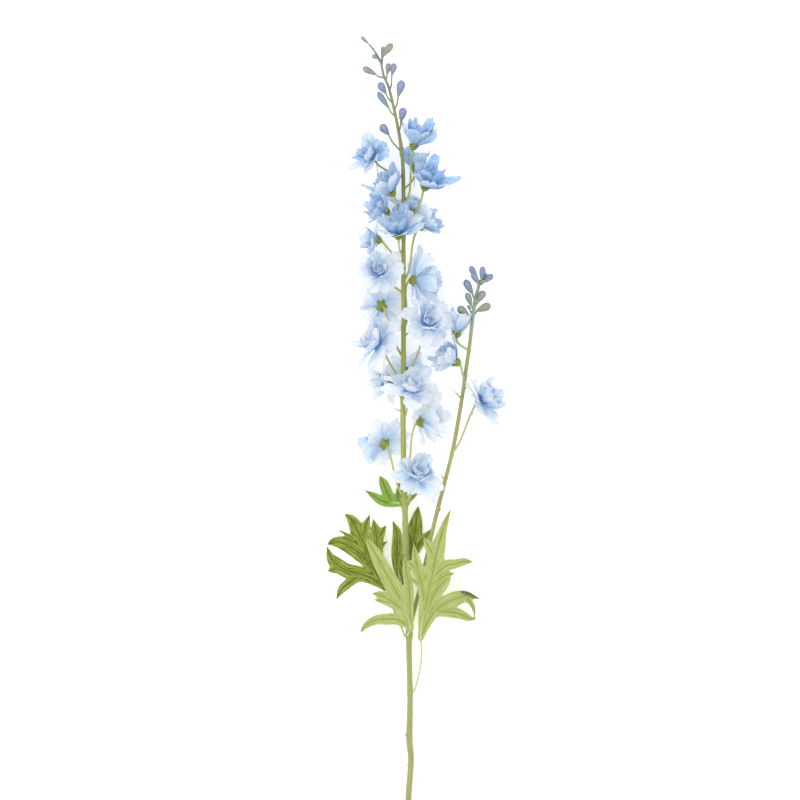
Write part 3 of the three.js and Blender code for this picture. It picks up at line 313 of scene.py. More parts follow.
class DelphiniumColours(bpy.types.PropertyGroup):
    petal_rim: colour_setting("Petal rim", "Rim of a petal", "#bdc0c4")
    petal_seam: colour_setting("Petal seam", "Thin darker seam round a petal", "#8088b0")
    petal_pale: colour_setting("Petal pale", "Face of the pale petals", "#b6c1cb")
    petal_blue: colour_setting("Petal blue", "Face of the blue petals", "#76a2cf")
    petal_heart: colour_setting("Petal heart", "Lower part of a petal, towards the heart", "#90aecb")
    # The deep blue dye at the root of the inner petals, also used for painted shade in the creases and
    # between the whorls.
    petal_root_and_shade: colour_setting("Petal root", "Very root of the inner petals", "#3a65a0")
    calyx: colour_setting("Calyx", "Green star behind the petals", "#8b972d")
    spur: colour_setting("Spur", "Spur that hangs behind a bloom", "#dddac8")
    stem_shade: colour_setting("Stem, shade", "What streaks and blots multiply a stem's colour by", "#adb389")
    stem_foot: colour_setting("Stem, foot", "Main stem near the cut end", "#abab71")
    stem_low: colour_setting("Stem, low", "Main stem below the blooms", "#a5ae5f")
    stem_middle: colour_setting("Stem, middle", "Main stem among the lower blooms", "#b0b75f")
    stem_upper: colour_setting("Stem, upper", "Main stem among the upper blooms", "#9ca33e")
    stem_high: colour_setting("Stem, high", "Main stem under its tip", "#8a914f")
    stem_neck: colour_setting("Stem, neck", "Main stem among the lower buds", "#959e66")
    stem_tip: colour_setting("Stem, tip", "Main stem among the upper buds", "#8d938c")
    shoot_low: colour_setting("Shoot, low", "Side shoot near the main stem", "#b3b26f")
    shoot_middle: colour_setting("Shoot, middle", "Side shoot among its blooms", "#a8a76c")
    shoot_high: colour_setting("Shoot, high", "Side shoot among its buds", "#96a998")
    stalk: colour_setting("Stalk", "Stalks of the blooms", "#c3c687")
    bud_blue: colour_setting("Bud, blue", "Buds that show their petals", "#8a99c2")
    # Painted shade on the flanks and tip of a bud, which face away from the light above.
    bud_side_shade: colour_setting("Bud, side", "Sides and tip of a bud", "#545b7e")
    bud_green: colour_setting("Bud, green", "Buds that are still shut", "#9ca67a")
    leaf_pale: colour_setting("Leaf, pale", "Upper face of the young front leaves", "#b6c074")
    leaf_pale_shade: colour_setting("Leaf, pale, shade", "Folds of the young front leaves", "#84933c")
    leaf_deep: colour_setting("Leaf, deep", "Upper face of the older leaves", "#92a43a")
    leaf_deep_shade: colour_setting("Leaf, deep, shade", "Folds of the older leaves", "#4a5714")
    leaf_deep_light: colour_setting("Leaf, deep, light", "Rims and streaks of the older leaves", "#b0bc68")
    leaf_fresh: colour_setting("Leaf, fresh", "Face of the small upper leaves", "#86ac3c")
    leaf_fresh_shade: colour_setting("Leaf, fresh, shade", "Folds of the small upper leaves", "#5f7d2e")
    # Painted shade: the dull underside in shade, laid on places where the blade is not turned.
    leaf_shaded_underside: colour_setting("Leaf, underside", "Dull underside of a leaf", "#5c6650")
    vein: colour_setting("Vein", "Stalks and pale veins of the leaves", "#c9d29a")
    floor: colour_setting("Floor", "Plain floor", "#fdfdfd")


# ------------------------------------------------------------------ small tools


def only_select(*objects):
    bpy.ops.object.select_all(action="DESELECT")
    for obj in objects:
        obj.select_set(True)
    bpy.context.view_layer.objects.active = objects[0]


def joined(objects, name):
    only_select(*objects)
    if len(objects) > 1:
        bpy.ops.object.join()
    piece = bpy.context.view_layer.objects.active
    piece.name = piece.data.name = name
    return piece


def cleaned(piece):
    """Merges doubled vertices and turns every face outwards."""
    only_select(piece)
    bpy.ops.object.mode_set(mode="EDIT")
    bpy.ops.mesh.select_all(action="SELECT")
    bpy.ops.mesh.remove_doubles(threshold=0.01 * MM)
    bpy.ops.mesh.normals_make_consistent(inside=False)
    bpy.ops.object.mode_set(mode="OBJECT")
    bpy.ops.object.shade_smooth()
    return piece


def thickened(piece, thickness):
    only_select(piece)
    shell = piece.modifiers.new("Thickness", "SOLIDIFY")
    shell.thickness = thickness
    shell.offset = 0
    bpy.ops.object.modifier_apply(modifier=shell.name)
    bpy.ops.object.shade_smooth()
    return piece


def finished(piece, material, slot, *nodes):
    """Gives a piece its finish, and sets it on the plant in place of its solids."""
    piece.data.materials.clear()
    piece.data.materials.append(material)
    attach(piece, "root")
    if nodes:
        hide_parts(*nodes)
    return piece


def places(mesh):
    flat = np.empty(len(mesh.vertices) * 3)
    mesh.vertices.foreach_get("co", flat)
    return flat.reshape(-1, 3)


def set_places(mesh, points):
    mesh.vertices.foreach_set("co", np.ascontiguousarray(points, dtype=np.float32).ravel())
    mesh.update()


def set_value(mesh, name, values):
    """A number for each vertex, which a material reads by its name."""
    attribute = mesh.attributes.get(name) or mesh.attributes.new(name, "FLOAT", "POINT")
    attribute.data.foreach_set("value", np.broadcast_to(values, len(mesh.vertices)).astype(np.float32))


def sided(piece):
    """Marks the outer side of a thickened sheet 0 and its inner side 1."""
    count = len(piece.data.vertices)
    set_value(piece.data, "inside", np.arange(count) >= count / 2)
    return piece


def facing(turn, tip):
    level = math.cos(math.radians(tip))
    return Vector((
        math.cos(math.radians(turn)) * level,
        math.sin(math.radians(turn)) * level,
        math.sin(math.radians(tip)),
    ))


def smooth_rows(rows, steps):
    """A smooth run through rows of numbers, with that many steps between each two."""
    rows = np.array(rows, float)
    ends = np.vstack([2 * rows[0] - rows[1], rows, 2 * rows[-1] - rows[-2]])
    out = []
    for a, b, c, d in zip(ends, ends[1:], ends[2:], ends[3:]):
        for t in np.arange(steps) / steps:
            out.append(0.5 * (2 * b + (c - a) * t + (2 * a - 5 * b + 4 * c - d) * t ** 2
                              + (3 * b - a - 3 * c + d) * t ** 3))
    return np.array(out + [rows[-1]])


def soft_floor(z):
    """Heights in mm, where what would sink under the table lies flat on it instead."""
    rest, reach = 0.25, 1.5
    return np.where(z < reach, rest + (reach - rest) * np.exp((np.minimum(z, reach) - reach) / reach), z)


def wobbles(seed):
    """The repeatable numbers from -1 to 1 that also set the petals of the solid model."""
    state = seed * 7919 + 104729
    while True:
        state = state * 16807 % 2147483647
        yield state / 2147483647 * 2 - 1


def stem_at(table, y):
    """The middle of a stem, and its radius, where it passes a given y."""
    rows = np.array(table, float)
    row = [np.interp(y, rows[:, 1], rows[:, k]) for k in range(4)]
    return Vector(row[:3]), float(row[3])


def tube(name, points, radii, rounds=3):
    """A round tube along points in mm, with a radius in mm at each."""
    bpy.ops.curve.primitive_bezier_curve_add()
    obj = bpy.context.active_object
    obj.name = name
    curve = obj.data
    curve.splines.clear()
    curve.dimensions = "3D"
    curve.bevel_depth = MM
    curve.bevel_resolution = rounds
    curve.use_fill_caps = True
    curve.twist_mode = "MINIMUM"
    spline = curve.splines.new("POLY")
    spline.points.add(len(points) - 1)
    for point, place, radius in zip(spline.points, points, radii):
        point.co = (*(Vector(place) * MM), 1)
        point.radius = radius
    only_select(obj)
    bpy.ops.object.convert(target="MESH")
    return bpy.context.active_object


def cubic(p0, p1, p2, p3, steps):
    out = []
    for i in range(steps + 1):
        t = i / steps
        out.append(p0 * (1 - t) ** 3 + 3 * p1 * t * (1 - t) ** 2 + 3 * p2 * t ** 2 * (1 - t) + p3 * t ** 3)
    return out


def stalk_points(start, end, arrival, steps):
    """A stalk keeps near the stem at first, and arrives from below along the way that it ends."""
    span = end - start
    way = Vector((math.copysign(1, span.x), 1, math.copysign(STALK_LIFT, span.z))).normalized()
    first = start + STALK_LEAVE * span.length * way
    second = end - STALK_ARRIVE * span.length * arrival - Vector((0, STALK_SAG * span.length, 0))
    return cubic(start, first, second, end, steps)


# ------------------------------------------------------------------ finishes


ATTRIBUTE, NOISE, MAPPING = "ShaderNodeAttribute", "ShaderNodeTexNoise", "ShaderNodeMapping"
RANGE, SMOOTH = "ShaderNodeMapRange", {"interpolation_type": "SMOOTHSTEP"}
MATH, SUM, PRODUCT = "ShaderNodeMath", {"operation": "ADD"}, {"operation": "MULTIPLY"}
DIFFERENCE, MAGNITUDE = {"operation": "SUBTRACT"}, {"operation": "ABSOLUTE"}
LARGEST, PRODUCT_AND_SUM = {"operation": "MAXIMUM"}, {"operation": "MULTIPLY_ADD"}
MIX, COLOURS = "ShaderNodeMix", {"data_type": "RGBA"}  # inputs: 0 the share, 6 and 7 the colours


def add_node(tree, kind, settings=None, inputs=()):
    """Adds a node and sets its properties. Each input, by its name or in order, is given a value, or a
    link from a socket or from the output that another node has in use."""
    node = tree.nodes.new(kind)
    for key, value in (settings or {}).items():
        setattr(node, key, value)
    for key, value in inputs.items() if isinstance(inputs, dict) else enumerate(inputs):
        if isinstance(value, bpy.types.Node):
            value = next(output for output in value.outputs if output.enabled)
        if isinstance(value, bpy.types.NodeSocket):
            tree.links.new(value, node.inputs[key])
        else:
            node.inputs[key].default_value = value
    return node


def new_material(name):
    """An empty material, and the function that adds a node to it."""
    material = bpy.data.materials.new(name)
    material.use_nodes = True
    material.node_tree.nodes.clear()
    return material, partial(add_node, material.node_tree)


def petal_finish(colours):
    """Fresh delphinium petal: a thin, soft skin that light shines through, blue towards its root and
    nearly white at its rim. It has fine lengthwise veins about 0.9 mm apart and a thin slate seam on
    the blue blooms. Painted deep blue shade lies along thin creases and where the whorls meet, where it
    is partly the petal's own dye. A faint painted glow of its own colour lifts its shaded parts."""
    material, add = new_material("fresh_petal_skin")
    uv = add("ShaderNodeUVMap", {"uv_map": "UVMap"})
    across, along, _ = add("ShaderNodeSeparateXYZ", inputs=(uv,)).outputs
    place = add("ShaderNodeTexCoord").outputs["Object"]
    blue, heart, inside = (
        add(ATTRIBUTE, {"attribute_name": name}).outputs["Fac"] for name in ("blue", "heart", "inside")
    )

    # Soft clouds 9.1 mm wide shift the colours along the petal.
    clouds = add(NOISE, inputs={"Vector": place, "Scale": 1 / (9.1 * MM), "Detail": 2.0})
    drift = add(RANGE, SMOOTH, (clouds, 0.3, 0.7, -0.14, 0.14))
    reach = add(MATH, SUM, (along, drift))

    # The face is mottled in patches 4.17 mm wide, and pales to the rim, a pale bloom's sooner.
    patches = add(NOISE, inputs={"Vector": place, "Scale": 1 / (4.17 * MM), "Detail": 2.0})
    patch = add(RANGE, SMOOTH, (patches, 0.35, 0.65, 0.65, 1.1))
    blueness = add(MATH, PRODUCT, (blue, patch))
    face = add(MIX, COLOURS, {0: blueness, 6: colours.petal_pale, 7: colours.petal_blue})
    fade_from = add(MATH, PRODUCT_AND_SUM, (blue, 0.55, 0.2))
    fade_to = add(MATH, PRODUCT_AND_SUM, (blue, 0.55, 0.7))
    fade = add(RANGE, SMOOTH, (reach, fade_from, fade_to))
    fade_depth = add(MATH, PRODUCT_AND_SUM, (blue, -0.55, 1.0))
    rim = add(MATH, PRODUCT, (fade, fade_depth))
    paled = add(MIX, COLOURS, {0: rim, 6: face, 7: colours.petal_rim})

    # The lower part is bluer.
    low = add(RANGE, SMOOTH, (reach, 0.1, 0.6, 1.0, 0.0))
    low_depth = add(MATH, PRODUCT_AND_SUM, (blue, 0.6, 0.2))
    lower = add(MATH, PRODUCT, (low, low_depth))
    rooted = add(MIX, COLOURS, {0: lower, 6: paled, 7: colours.petal_heart})

    # Where a petal meets the next whorl it is deep blue: on its inner side, and on the outer side of the
    # petals in the heart. This is partly the petal's own deeper dye and partly painted shade from the gap
    # between the whorls.
    gap_shade_inside = add(RANGE, SMOOTH, (heart, 0.0, 0.8, 0.75, 0.3))
    gap_shade_outside = add(RANGE, SMOOTH, (heart, 0.0, 0.5, 0.05, 0.9))
    depth = add(MIX, {"data_type": "FLOAT"}, {0: inside, 2: gap_shade_outside, 3: gap_shade_inside})
    meeting = add(MATH, PRODUCT_AND_SUM, (heart, 0.44, 0.26))
    above = add(MATH, DIFFERENCE, (reach, meeting))
    covered = add(RANGE, SMOOTH, (above, -0.16, 0.0, 1.0, 0.0))
    dye_and_gap_shade = add(MATH, PRODUCT, (covered, depth))
    gap_shaded = add(MIX, COLOURS, {0: dye_and_gap_shade, 6: rooted, 7: colours.petal_root_and_shade})

    veins_at = add(MAPPING, inputs={"Vector": uv, "Scale": (PETAL_WIDTH / 0.91, PETAL_LENGTH / 17.9, 1)})
    veins = add(NOISE, inputs={"Vector": veins_at, "Scale": 1.0, "Detail": 3.0})
    vein = add(RANGE, SMOOTH, (veins, 0.52, 0.75, 0.0, 0.3))
    veined = add(MIX, COLOURS, {0: vein, 6: gap_shaded, 7: colours.petal_heart})

    # Painted shade: thin deep blue lines about 4 mm apart run lengthwise, other ones on each petal, where the
    # shade of fine creases would fall.
    creases_at = add(MAPPING, inputs={"Vector": uv, "Scale": (PETAL_WIDTH / 4, PETAL_LENGTH / 19.2, 1)})
    apart = add(MAPPING, inputs={"Vector": place, "Scale": (1 / (11.1 * MM),) * 3})
    folds_at = add("ShaderNodeVectorMath", SUM, (creases_at, apart))
    folds = add(NOISE, inputs={"Vector": folds_at, "Scale": 1.0, "Detail": 1.0})
    level = add(MATH, DIFFERENCE, (folds, 0.5))
    off_crease = add(MATH, MAGNITUDE, (level,))
    thin = add(RANGE, SMOOTH, (off_crease, 0.0, 0.035, 1.0, 0.0))
    crease_shade_depth = add(MATH, PRODUCT_AND_SUM, (blue, 0.5, 0.1))
    painted_crease_shade = add(MATH, PRODUCT, (thin, crease_shade_depth))
    crease_shaded = add(MIX, COLOURS, {0: painted_crease_shade, 6: veined, 7: colours.petal_root_and_shade})

    off_rib = add(MATH, PRODUCT_AND_SUM, (across, 2.0, -1.0))
    aside = add(MATH, MAGNITUDE, (off_rib,))
    outwards = add(MATH, LARGEST, (aside, along))
    edge = add(RANGE, SMOOTH, (outwards, 0.86, 1.0))
    seam_depth = add(MATH, PRODUCT, (blue, 0.6))
    seam = add(MATH, PRODUCT, (edge, seam_depth))
    seamed = add(MIX, COLOURS, {0: seam, 6: crease_shaded, 7: colours.petal_seam})

    # Painted glow: each petal gives off a faint light of its own colour, more where it is pale than where it
    # is blue, standing in for the floor's light shining through it.
    painted_glow = add(RANGE, SMOOTH, (blue, 0.0, 1.0, 0.38, 0.15))
    bump = add("ShaderNodeBump", inputs={"Height": veins, "Strength": 0.3, "Distance": 0.2 * MM})
    skin = add("ShaderNodeBsdfPrincipled", inputs={
        "Base Color": seamed, "Roughness": 0.6, "Normal": bump,
        "Emission Color": seamed, "Emission Strength": painted_glow,
        "Subsurface Weight": 1.0, "Subsurface Radius": (1, 1, 1), "Subsurface Scale": 1.8 * MM,
    })
    add("ShaderNodeOutputMaterial", inputs={"Surface": skin})
    return material


def stem_finish(name, shade, stops, blot=17, depth=0.4):
    """Green herbaceous stem: a dull waxy skin with fine lengthwise ridges about 0.7 mm apart. stops:
    the colours along it, each with its y in mm. shade darkens its streaks and its blots. blot, depth:
    the size of the blots in mm, and their strength."""
    material, add = new_material(name)
    place = add("ShaderNodeTexCoord").outputs["Object"]
    along = add("ShaderNodeSeparateXYZ", inputs=(place,)).outputs["Y"]
    low, high = stops[0][0], stops[-1][0] + 1
    share = add(RANGE, inputs=(along, low * MM, high * MM))
    body = add("ShaderNodeValToRGB", inputs=(share,))
    elements = body.color_ramp.elements
    while len(elements) < len(stops):
        elements.new(0.5)
    for element, (y, colour) in zip(elements, stops):
        element.position = (y - low) / (high - low)
        element.color = colour
    fibre = (1 / (0.714 * MM), 1 / (33.3 * MM), 1 / (0.714 * MM))
    fibres_at = add(MAPPING, inputs={"Vector": place, "Scale": fibre})
    fibres = add(NOISE, inputs={"Vector": fibres_at, "Scale": 1.0})
    blots = add(NOISE, inputs={"Vector": place, "Scale": 1 / (blot * MM), "Detail": 4.0})
    dark = add(MIX, {**COLOURS, "blend_type": "MULTIPLY"}, {0: 0.6, 6: body, 7: shade})
    streak = add(RANGE, SMOOTH, (fibres, 0.42, 0.7, 0.0, 0.55))
    streaked = add(MIX, COLOURS, {0: streak, 6: body, 7: dark})
    patch = add(RANGE, SMOOTH, (blots, 0.5, 0.75, 0.0, depth))
    blotched = add(MIX, COLOURS, {0: patch, 6: streaked, 7: dark})
    bump = add("ShaderNodeBump", inputs={"Height": fibres, "Strength": 0.4, "Distance": 0.2 * MM})
    skin = add("ShaderNodeBsdfPrincipled", inputs={"Base Color": blotched, "Roughness": 0.5, "Normal": bump})
    add("ShaderNodeOutputMaterial", inputs={"Surface": skin})
    return material


def bud_finish(colours):
    """Shut bud: a matt, slightly downy skin with a grain of 2 mm, from grey green to slate blue, with painted
    shade where it faces away from the light above, and greener at its foot."""
    material, add = new_material("downy_bud_skin")
    green, along, side = (
        add(ATTRIBUTE, {"attribute_name": name}).outputs["Fac"] for name in ("green", "along", "side")
    )
    place = add("ShaderNodeTexCoord").outputs["Object"]
    down = add(NOISE, inputs={"Vector": place, "Scale": 1 / (2 * MM), "Detail": 3.0})
    body = add(MIX, COLOURS, {0: green, 6: colours.bud_blue, 7: colours.bud_green})
    # Painted shade: where the bud faces away from the light above, its colour goes towards a dark slate.
    side_shade_depth = add(MATH, PRODUCT, (side, 0.75))
    side_shaded = add(MIX, COLOURS, {0: side_shade_depth, 6: body, 7: colours.bud_side_shade})
    foot = add(RANGE, SMOOTH, (along, 0.0, 0.5, 0.6, 0.0))
    footed = add(MIX, COLOURS, {0: foot, 6: side_shaded, 7: colours.calyx})
    bloom = add(RANGE, SMOOTH, (down, 0.4, 0.75, 0.0, 0.4))
    mottled = add(MIX, COLOURS, {0: bloom, 6: footed, 7: colours.petal_pale})
    bump = add("ShaderNodeBump", inputs={"Height": down, "Strength": 0.3, "Distance": 0.2 * MM})
    skin = add("ShaderNodeBsdfPrincipled", inputs={
        "Base Color": mottled, "Roughness": 0.65, "Normal": bump, "Sheen Weight": 0.2,
    })
    add("ShaderNodeOutputMaterial", inputs={"Surface": skin})
    return material


def leaf_finish(name, body, shade, light, vein, underside, mottle):
    """Delphinium leaf: a thin matt blade with painted shade in the folds along its ribs and veins, paler
    at its thin rim, with streaks 2 mm wide and 14.3 mm long along its lobes and a fine grain, and with
    painted patches of its dull underside in shade where the leaf lists them. mottle: how strong the
    streaks are."""
    material, add = new_material(name)
    place = add("ShaderNodeTexCoord").outputs["Object"]
    ribs, rim, aside, ahead, turned, stalk = (
        add(ATTRIBUTE, {"attribute_name": name}).outputs["Fac"] for name in LEAF_VALUES
    )
    streaks_across = add(MATH, PRODUCT, (aside, 1 / 2))
    streaks_ahead = add(MATH, PRODUCT, (ahead, 1 / 14.3))
    streaks_at = add("ShaderNodeCombineXYZ", inputs=(streaks_across, streaks_ahead))
    streaks = add(NOISE, inputs={"Vector": streaks_at, "Scale": 1.0, "Detail": 4.0})
    grain = add(NOISE, inputs={"Vector": place, "Scale": 1 / (1.11 * MM), "Detail": 2.0})
    dark_streak = add(RANGE, SMOOTH, (streaks, 0.5, 0.68, 0.0, mottle))
    darkened = add(MIX, COLOURS, {0: dark_streak, 6: body, 7: shade})
    light_streak = add(RANGE, SMOOTH, (streaks, 0.5, 0.32, 0.0, mottle))
    lightened = add(MIX, COLOURS, {0: light_streak, 6: darkened, 7: light})
    speck = add(RANGE, SMOOTH, (grain, 0.4, 0.7, 0.0, 0.25))
    grained = add(MIX, COLOURS, {0: speck, 6: lightened, 7: shade})
    rim_depth = add(MATH, PRODUCT, (rim, 0.45))
    edged = add(MIX, COLOURS, {0: rim_depth, 6: grained, 7: light})
    # Painted shade: the places listed as turned take the colour of the dull underside in shade, though the
    # blade is not turned there.
    underside_shaded = add(MIX, COLOURS, {0: turned, 6: edged, 7: underside})
    # Painted shade: the folds along the ribs and veins are darkened towards the shade colour.
    rib_fold_shade = add(MATH, PRODUCT, (ribs, 0.8))
    fold_shaded = add(MIX, COLOURS, {0: rib_fold_shade, 6: underside_shaded, 7: shade})
    stalked = add(MIX, COLOURS, {0: stalk, 6: fold_shaded, 7: vein})
    fine = add(MATH, PRODUCT, (grain, 0.4))
    rough = add(MATH, DIFFERENCE, (fine, ribs))
    bump = add("ShaderNodeBump", inputs={"Height": rough, "Strength": 0.35, "Distance": 0.2 * MM})
    skin = add("ShaderNodeBsdfPrincipled", inputs={
        "Base Color": stalked, "Roughness": 0.6, "Normal": bump, "Specular IOR Level": 0.2,
        "Subsurface Weight": 0.2, "Subsurface Radius": (1, 1, 0.6), "Subsurface Scale": 0.8 * MM,
    })
    add("ShaderNodeOutputMaterial", inputs={"Surface": skin})
    return material


def floor_finish(colours):
    """Plain matt board under even light."""
    material, add = new_material("plain_matt_board")
    skin = add("ShaderNodeBsdfPrincipled", inputs={
        "Base Color": colours.floor, "Roughness": 0.9,
        "Emission Color": linear("#ffffff"), "Emission Strength": 0.35,
    })
    add("ShaderNodeOutputMaterial", inputs={"Surface": skin})
    return material


# ------------------------------------------------------------------ stems


def ridged(piece, table):
    """Presses shallow lengthwise ridges into a stem that runs along Y."""
    rows = np.array(table, float) * MM
    points = places(piece.data)
    x = np.interp(points[:, 1], rows[:, 1], rows[:, 0])
    z = np.interp(points[:, 1], rows[:, 1], rows[:, 2])
    across, lift = points[:, 0] - x, points[:, 2] - z
    radius = np.hypot(across, lift)
    wave = np.cos(STEM_RIDGES * np.arctan2(lift, across)) * np.minimum(radius / (2 * MM), 1)
    share = 1 + RIDGE_DEPTH * wave
    points[:, 0], points[:, 2] = x + across * share, np.maximum(z + lift * share, 0)
    set_places(piece.data, points)


def stem_piece(name, table, swellings):
    rows = smooth_rows(table, 8)
    radii = rows[:, 3].copy()
    for y in swellings:
        radii *= 1 + NODE_SWELL * np.exp(-((rows[:, 1] - y) / NODE_REACH) ** 2)
    piece = cleaned(tube(name, rows[:, :3], radii, rounds=4))
    ridged(piece, rows)
    return piece


class DELPHINIUM_OT_stems(bpy.types.Operator):
    """Grow the main stem and the side shoot"""

    bl_idname = "delphinium.stems"
    bl_label = "Stems"

    def execute(self, context):
        colours = context.scene.delphinium_colours
        on_side = [b.leaves for b in BLOOMS if b.name.startswith("side_")]
        on_main = [b.leaves for b in BLOOMS if not b.name.startswith("side_")]
        skin = stem_finish("ridged_stem_skin", colours.stem_shade, [
            (-400, colours.stem_foot), (-110, colours.stem_low), (60, colours.stem_middle),
            (165, colours.stem_upper), (260, colours.stem_high), (350, colours.stem_neck),
            (400, colours.stem_tip),
        ])
        shoot_skin = stem_finish("ridged_shoot_skin", colours.stem_shade, [
            (-220, colours.shoot_low), (90, colours.shoot_middle), (125, colours.shoot_high),
        ])
        main = stem_piece("main_stem", MAIN_STEM, on_main + [leaf.leaves for leaf in LEAVES])
        finished(main, skin, "stem", "stem")
        side = stem_piece("side_shoot", SIDE_STEM, on_side)
        finished(side, shoot_skin, "stem")
        tubes = []
        for foot, tip, radius in BRACTS:
            foot, tip = Vector(foot), Vector(tip)
            bend = foot.lerp(tip, 0.5) + Vector((0, -0.6, 0))
            points = [foot, foot.lerp(bend, 0.5), bend, bend.lerp(tip, 0.6), tip]
            tubes.append(tube("bract", points, [radius, 0.9 * radius, 0.7 * radius, 0.4 * radius, 0.12]))
        finished(cleaned(joined(tubes, "bracts")), skin, "stem")
        return {"FINISHED"}


# ------------------------------------------------------------------ stalks, calyces and spurs


def bloom_matrix(bloom, index):
    """Takes a bloom's own frame, in mm with its face looking up +Z, to its place on the plant."""
    aim = UP.rotation_difference(facing(bloom.turn, bloom.tip))
    spin = Quaternion(UP, math.radians(index * SOLID_SPIN))
    return Matrix.Translation(Vector(bloom.seat)) @ (aim @ spin).to_matrix().to_4x4()


def placed(points, matrix):
    turned = points @ np.array(matrix.to_3x3()).T + np.array(matrix.translation)
    turned[:, 2] = soft_floor(turned[:, 2])
    return turned * MM


def stem_of(bloom):
    return SIDE_STEM if bloom.name.startswith("side_") else MAIN_STEM


def stalk_piece(bloom):
    axis = facing(bloom.turn, bloom.tip)
    start, _ = stem_at(stem_of(bloom), bloom.leaves)
    points = stalk_points(start, Vector(bloom.seat) - NECK_BELOW * axis, axis, STALK_STEPS)
    swell = [
        1 + 0.5 * math.exp(-i / 1.5) + 0.25 * math.exp(-(STALK_STEPS - i) / 1.2)
        for i in range(STALK_STEPS + 1)
    ]
    return tube("stalk", points, [STALK_RADIUS * s for s in swell])


def spur_piece(bloom):
    """The thin spur of a delphinium's upper sepal, which hangs back beside the stalk."""
    axis = facing(bloom.turn, bloom.tip)
    start = Vector(bloom.seat) - SPUR_ROOT * axis
    bends = [
        start - back * SPUR_LENGTH * axis - Vector((0, droop * SPUR_LENGTH, 0))
        for back, droop in zip(SPUR_BACK, SPUR_DROOP)
    ]
    rows = smooth_rows([(*point, radius) for point, radius in zip((start, *bends), SPUR_RADII)], 6)
    rows[:, 2] = np.maximum(rows[:, 2], rows[:, 3] + 0.1)
    return tube("spur", rows[:, :3], rows[:, 3], rounds=2)


def calyx_parts(bloom, index, sepal, cup):
    """The green cup under a bloom and the five pointed lobes of its star."""
    matrix = bloom_matrix(bloom, index)
    draw = random.Random(700 + index)
    parts = []
    body = cup.copy()
    body.data = cup.data.copy()
    set_places(body.data, placed(places(cup.data) / MM, matrix))
    parts.append(body)
    for k in range(PETALS):
        lobe = sepal.copy()
        lobe.data = sepal.data.copy()
        flat = places(sepal.data)
        across, along = flat[:, 0], (flat[:, 1] + 1) / 2
        half = SEPAL_HALF * (1 - along) ** 0.75 * (0.85 + 0.5 * along)
        reach, lean = (shut + (full - shut) * bloom.open for shut, full in (SEPAL_REACH, SEPAL_LEAN))
        lean = np.radians(lean + 8 * draw.random() + SEPAL_BEND * along)
        out = SEPAL_ROOT[0] + reach * along * np.sin(lean)
        up = SEPAL_ROOT[1] + reach * along * np.cos(lean) + 0.2 * half * across ** 2
        points = np.stack([out, across * half, up], axis=1)
        turn = Matrix.Rotation(math.radians(72 * k + 18 + 10 * draw.random()), 4, "Z")
        set_places(lobe.data, placed(points, matrix @ turn))
        parts.append(lobe)
    for part in parts:
        bpy.context.scene.collection.objects.link(part)
    return parts


def calyx_cup():
    """A rounded cone, narrow at the stalk and widest under the petals."""
    bpy.ops.mesh.primitive_uv_sphere_add(segments=16, ring_count=10, radius=MM)
    cup = bpy.context.active_object
    points = places(cup.data) / MM
    height = points[:, 2]
    points[:, :2] *= (CUP_RADIUS - np.where(height < 0, CUP_TAPER * height ** 2, 0))[:, None]
    points[:, 2] = CUP_LEVEL + np.where(height < 0, CUP_DEPTH, CUP_RISE) * height
    set_places(cup.data, points * MM)
    return cup


class DELPHINIUM_OT_stalks(bpy.types.Operator):
    """Grow the stalk, the calyx and the spur of every bloom"""

    bl_idname = "delphinium.stalks"
    bl_label = "Stalks and calyces"

    def execute(self, context):
        colours = context.scene.delphinium_colours
        shade = colours.stem_shade
        stalk_skin = stem_finish("stalk_skin", shade, [(-100, colours.stalk), (320, colours.stem_middle)])
        calyx_stops = [(-100, colours.calyx), (400, colours.calyx)]
        calyx_skin = stem_finish("calyx_skin", shade, calyx_stops, blot=4, depth=0.9)
        spur_skin = stem_finish("spur_skin", shade, [(-100, colours.spur), (400, colours.spur)])
        stalks = cleaned(joined([stalk_piece(bloom) for bloom in BLOOMS], "bloom_stalks"))
        finished(stalks, stalk_skin, "stem")
        spurs = cleaned(joined([spur_piece(bloom) for bloom in BLOOMS], "spurs"))
        finished(spurs, spur_skin, "stem")
        bpy.ops.mesh.primitive_grid_add(x_subdivisions=4, y_subdivisions=7, size=2)
        sepal = bpy.context.active_object
        cup = calyx_cup()
        cups, lobes = [], []
        for index, bloom in enumerate(BLOOMS):
            first, *rest = calyx_parts(bloom, index, sepal, cup)
            cups.append(first)
            lobes.extend(rest)
        bpy.data.objects.remove(sepal)
        bpy.data.objects.remove(cup)
        finished(cleaned(joined(cups, "calyx_cups")), calyx_skin, "stem")
        finished(thickened(joined(lobes, "calyx_lobes"), 0.4 * MM), calyx_skin, "stem")
        return {"FINISHED"}


# ------------------------------------------------------------------ buds


def bud_body(template, bud):
    """A teardrop, fat towards its blunt tip, with five shallow seams."""
    obj = template.copy()
    obj.data = template.data.copy()
    bpy.context.scene.collection.objects.link(obj)
    foot, tip = Vector(bud.foot), Vector(bud.tip)
    axis = tip - foot
    points = places(template.data)
    along = (points[:, 2] + 1) / 2
    angle = np.arctan2(points[:, 1], points[:, 0])
    width = bud.radius * np.interp(along, BUD_ALONG, BUD_WIDTH)
    width *= 1 + SEAM_DEPTH * np.cos(BUD_SEAMS * angle) * np.sin(np.pi * along)
    local = np.stack([width * np.cos(angle), width * np.sin(angle), along * axis.length], axis=1)
    matrix = Matrix.Translation(foot) @ UP.rotation_difference(axis).to_matrix().to_4x4()
    set_places(obj.data, placed(local, matrix))
    # How far each vertex faces sideways, away from the light above: the share of painted shade.
    normals = np.empty(len(points) * 3)
    obj.data.vertices.foreach_get("normal", normals)
    set_value(obj.data, "side", 1 - np.abs(normals.reshape(-1, 3)[:, 2]) ** 2.2)
    set_value(obj.data, "along", along)
    set_value(obj.data, "green", bud.green)
    return obj


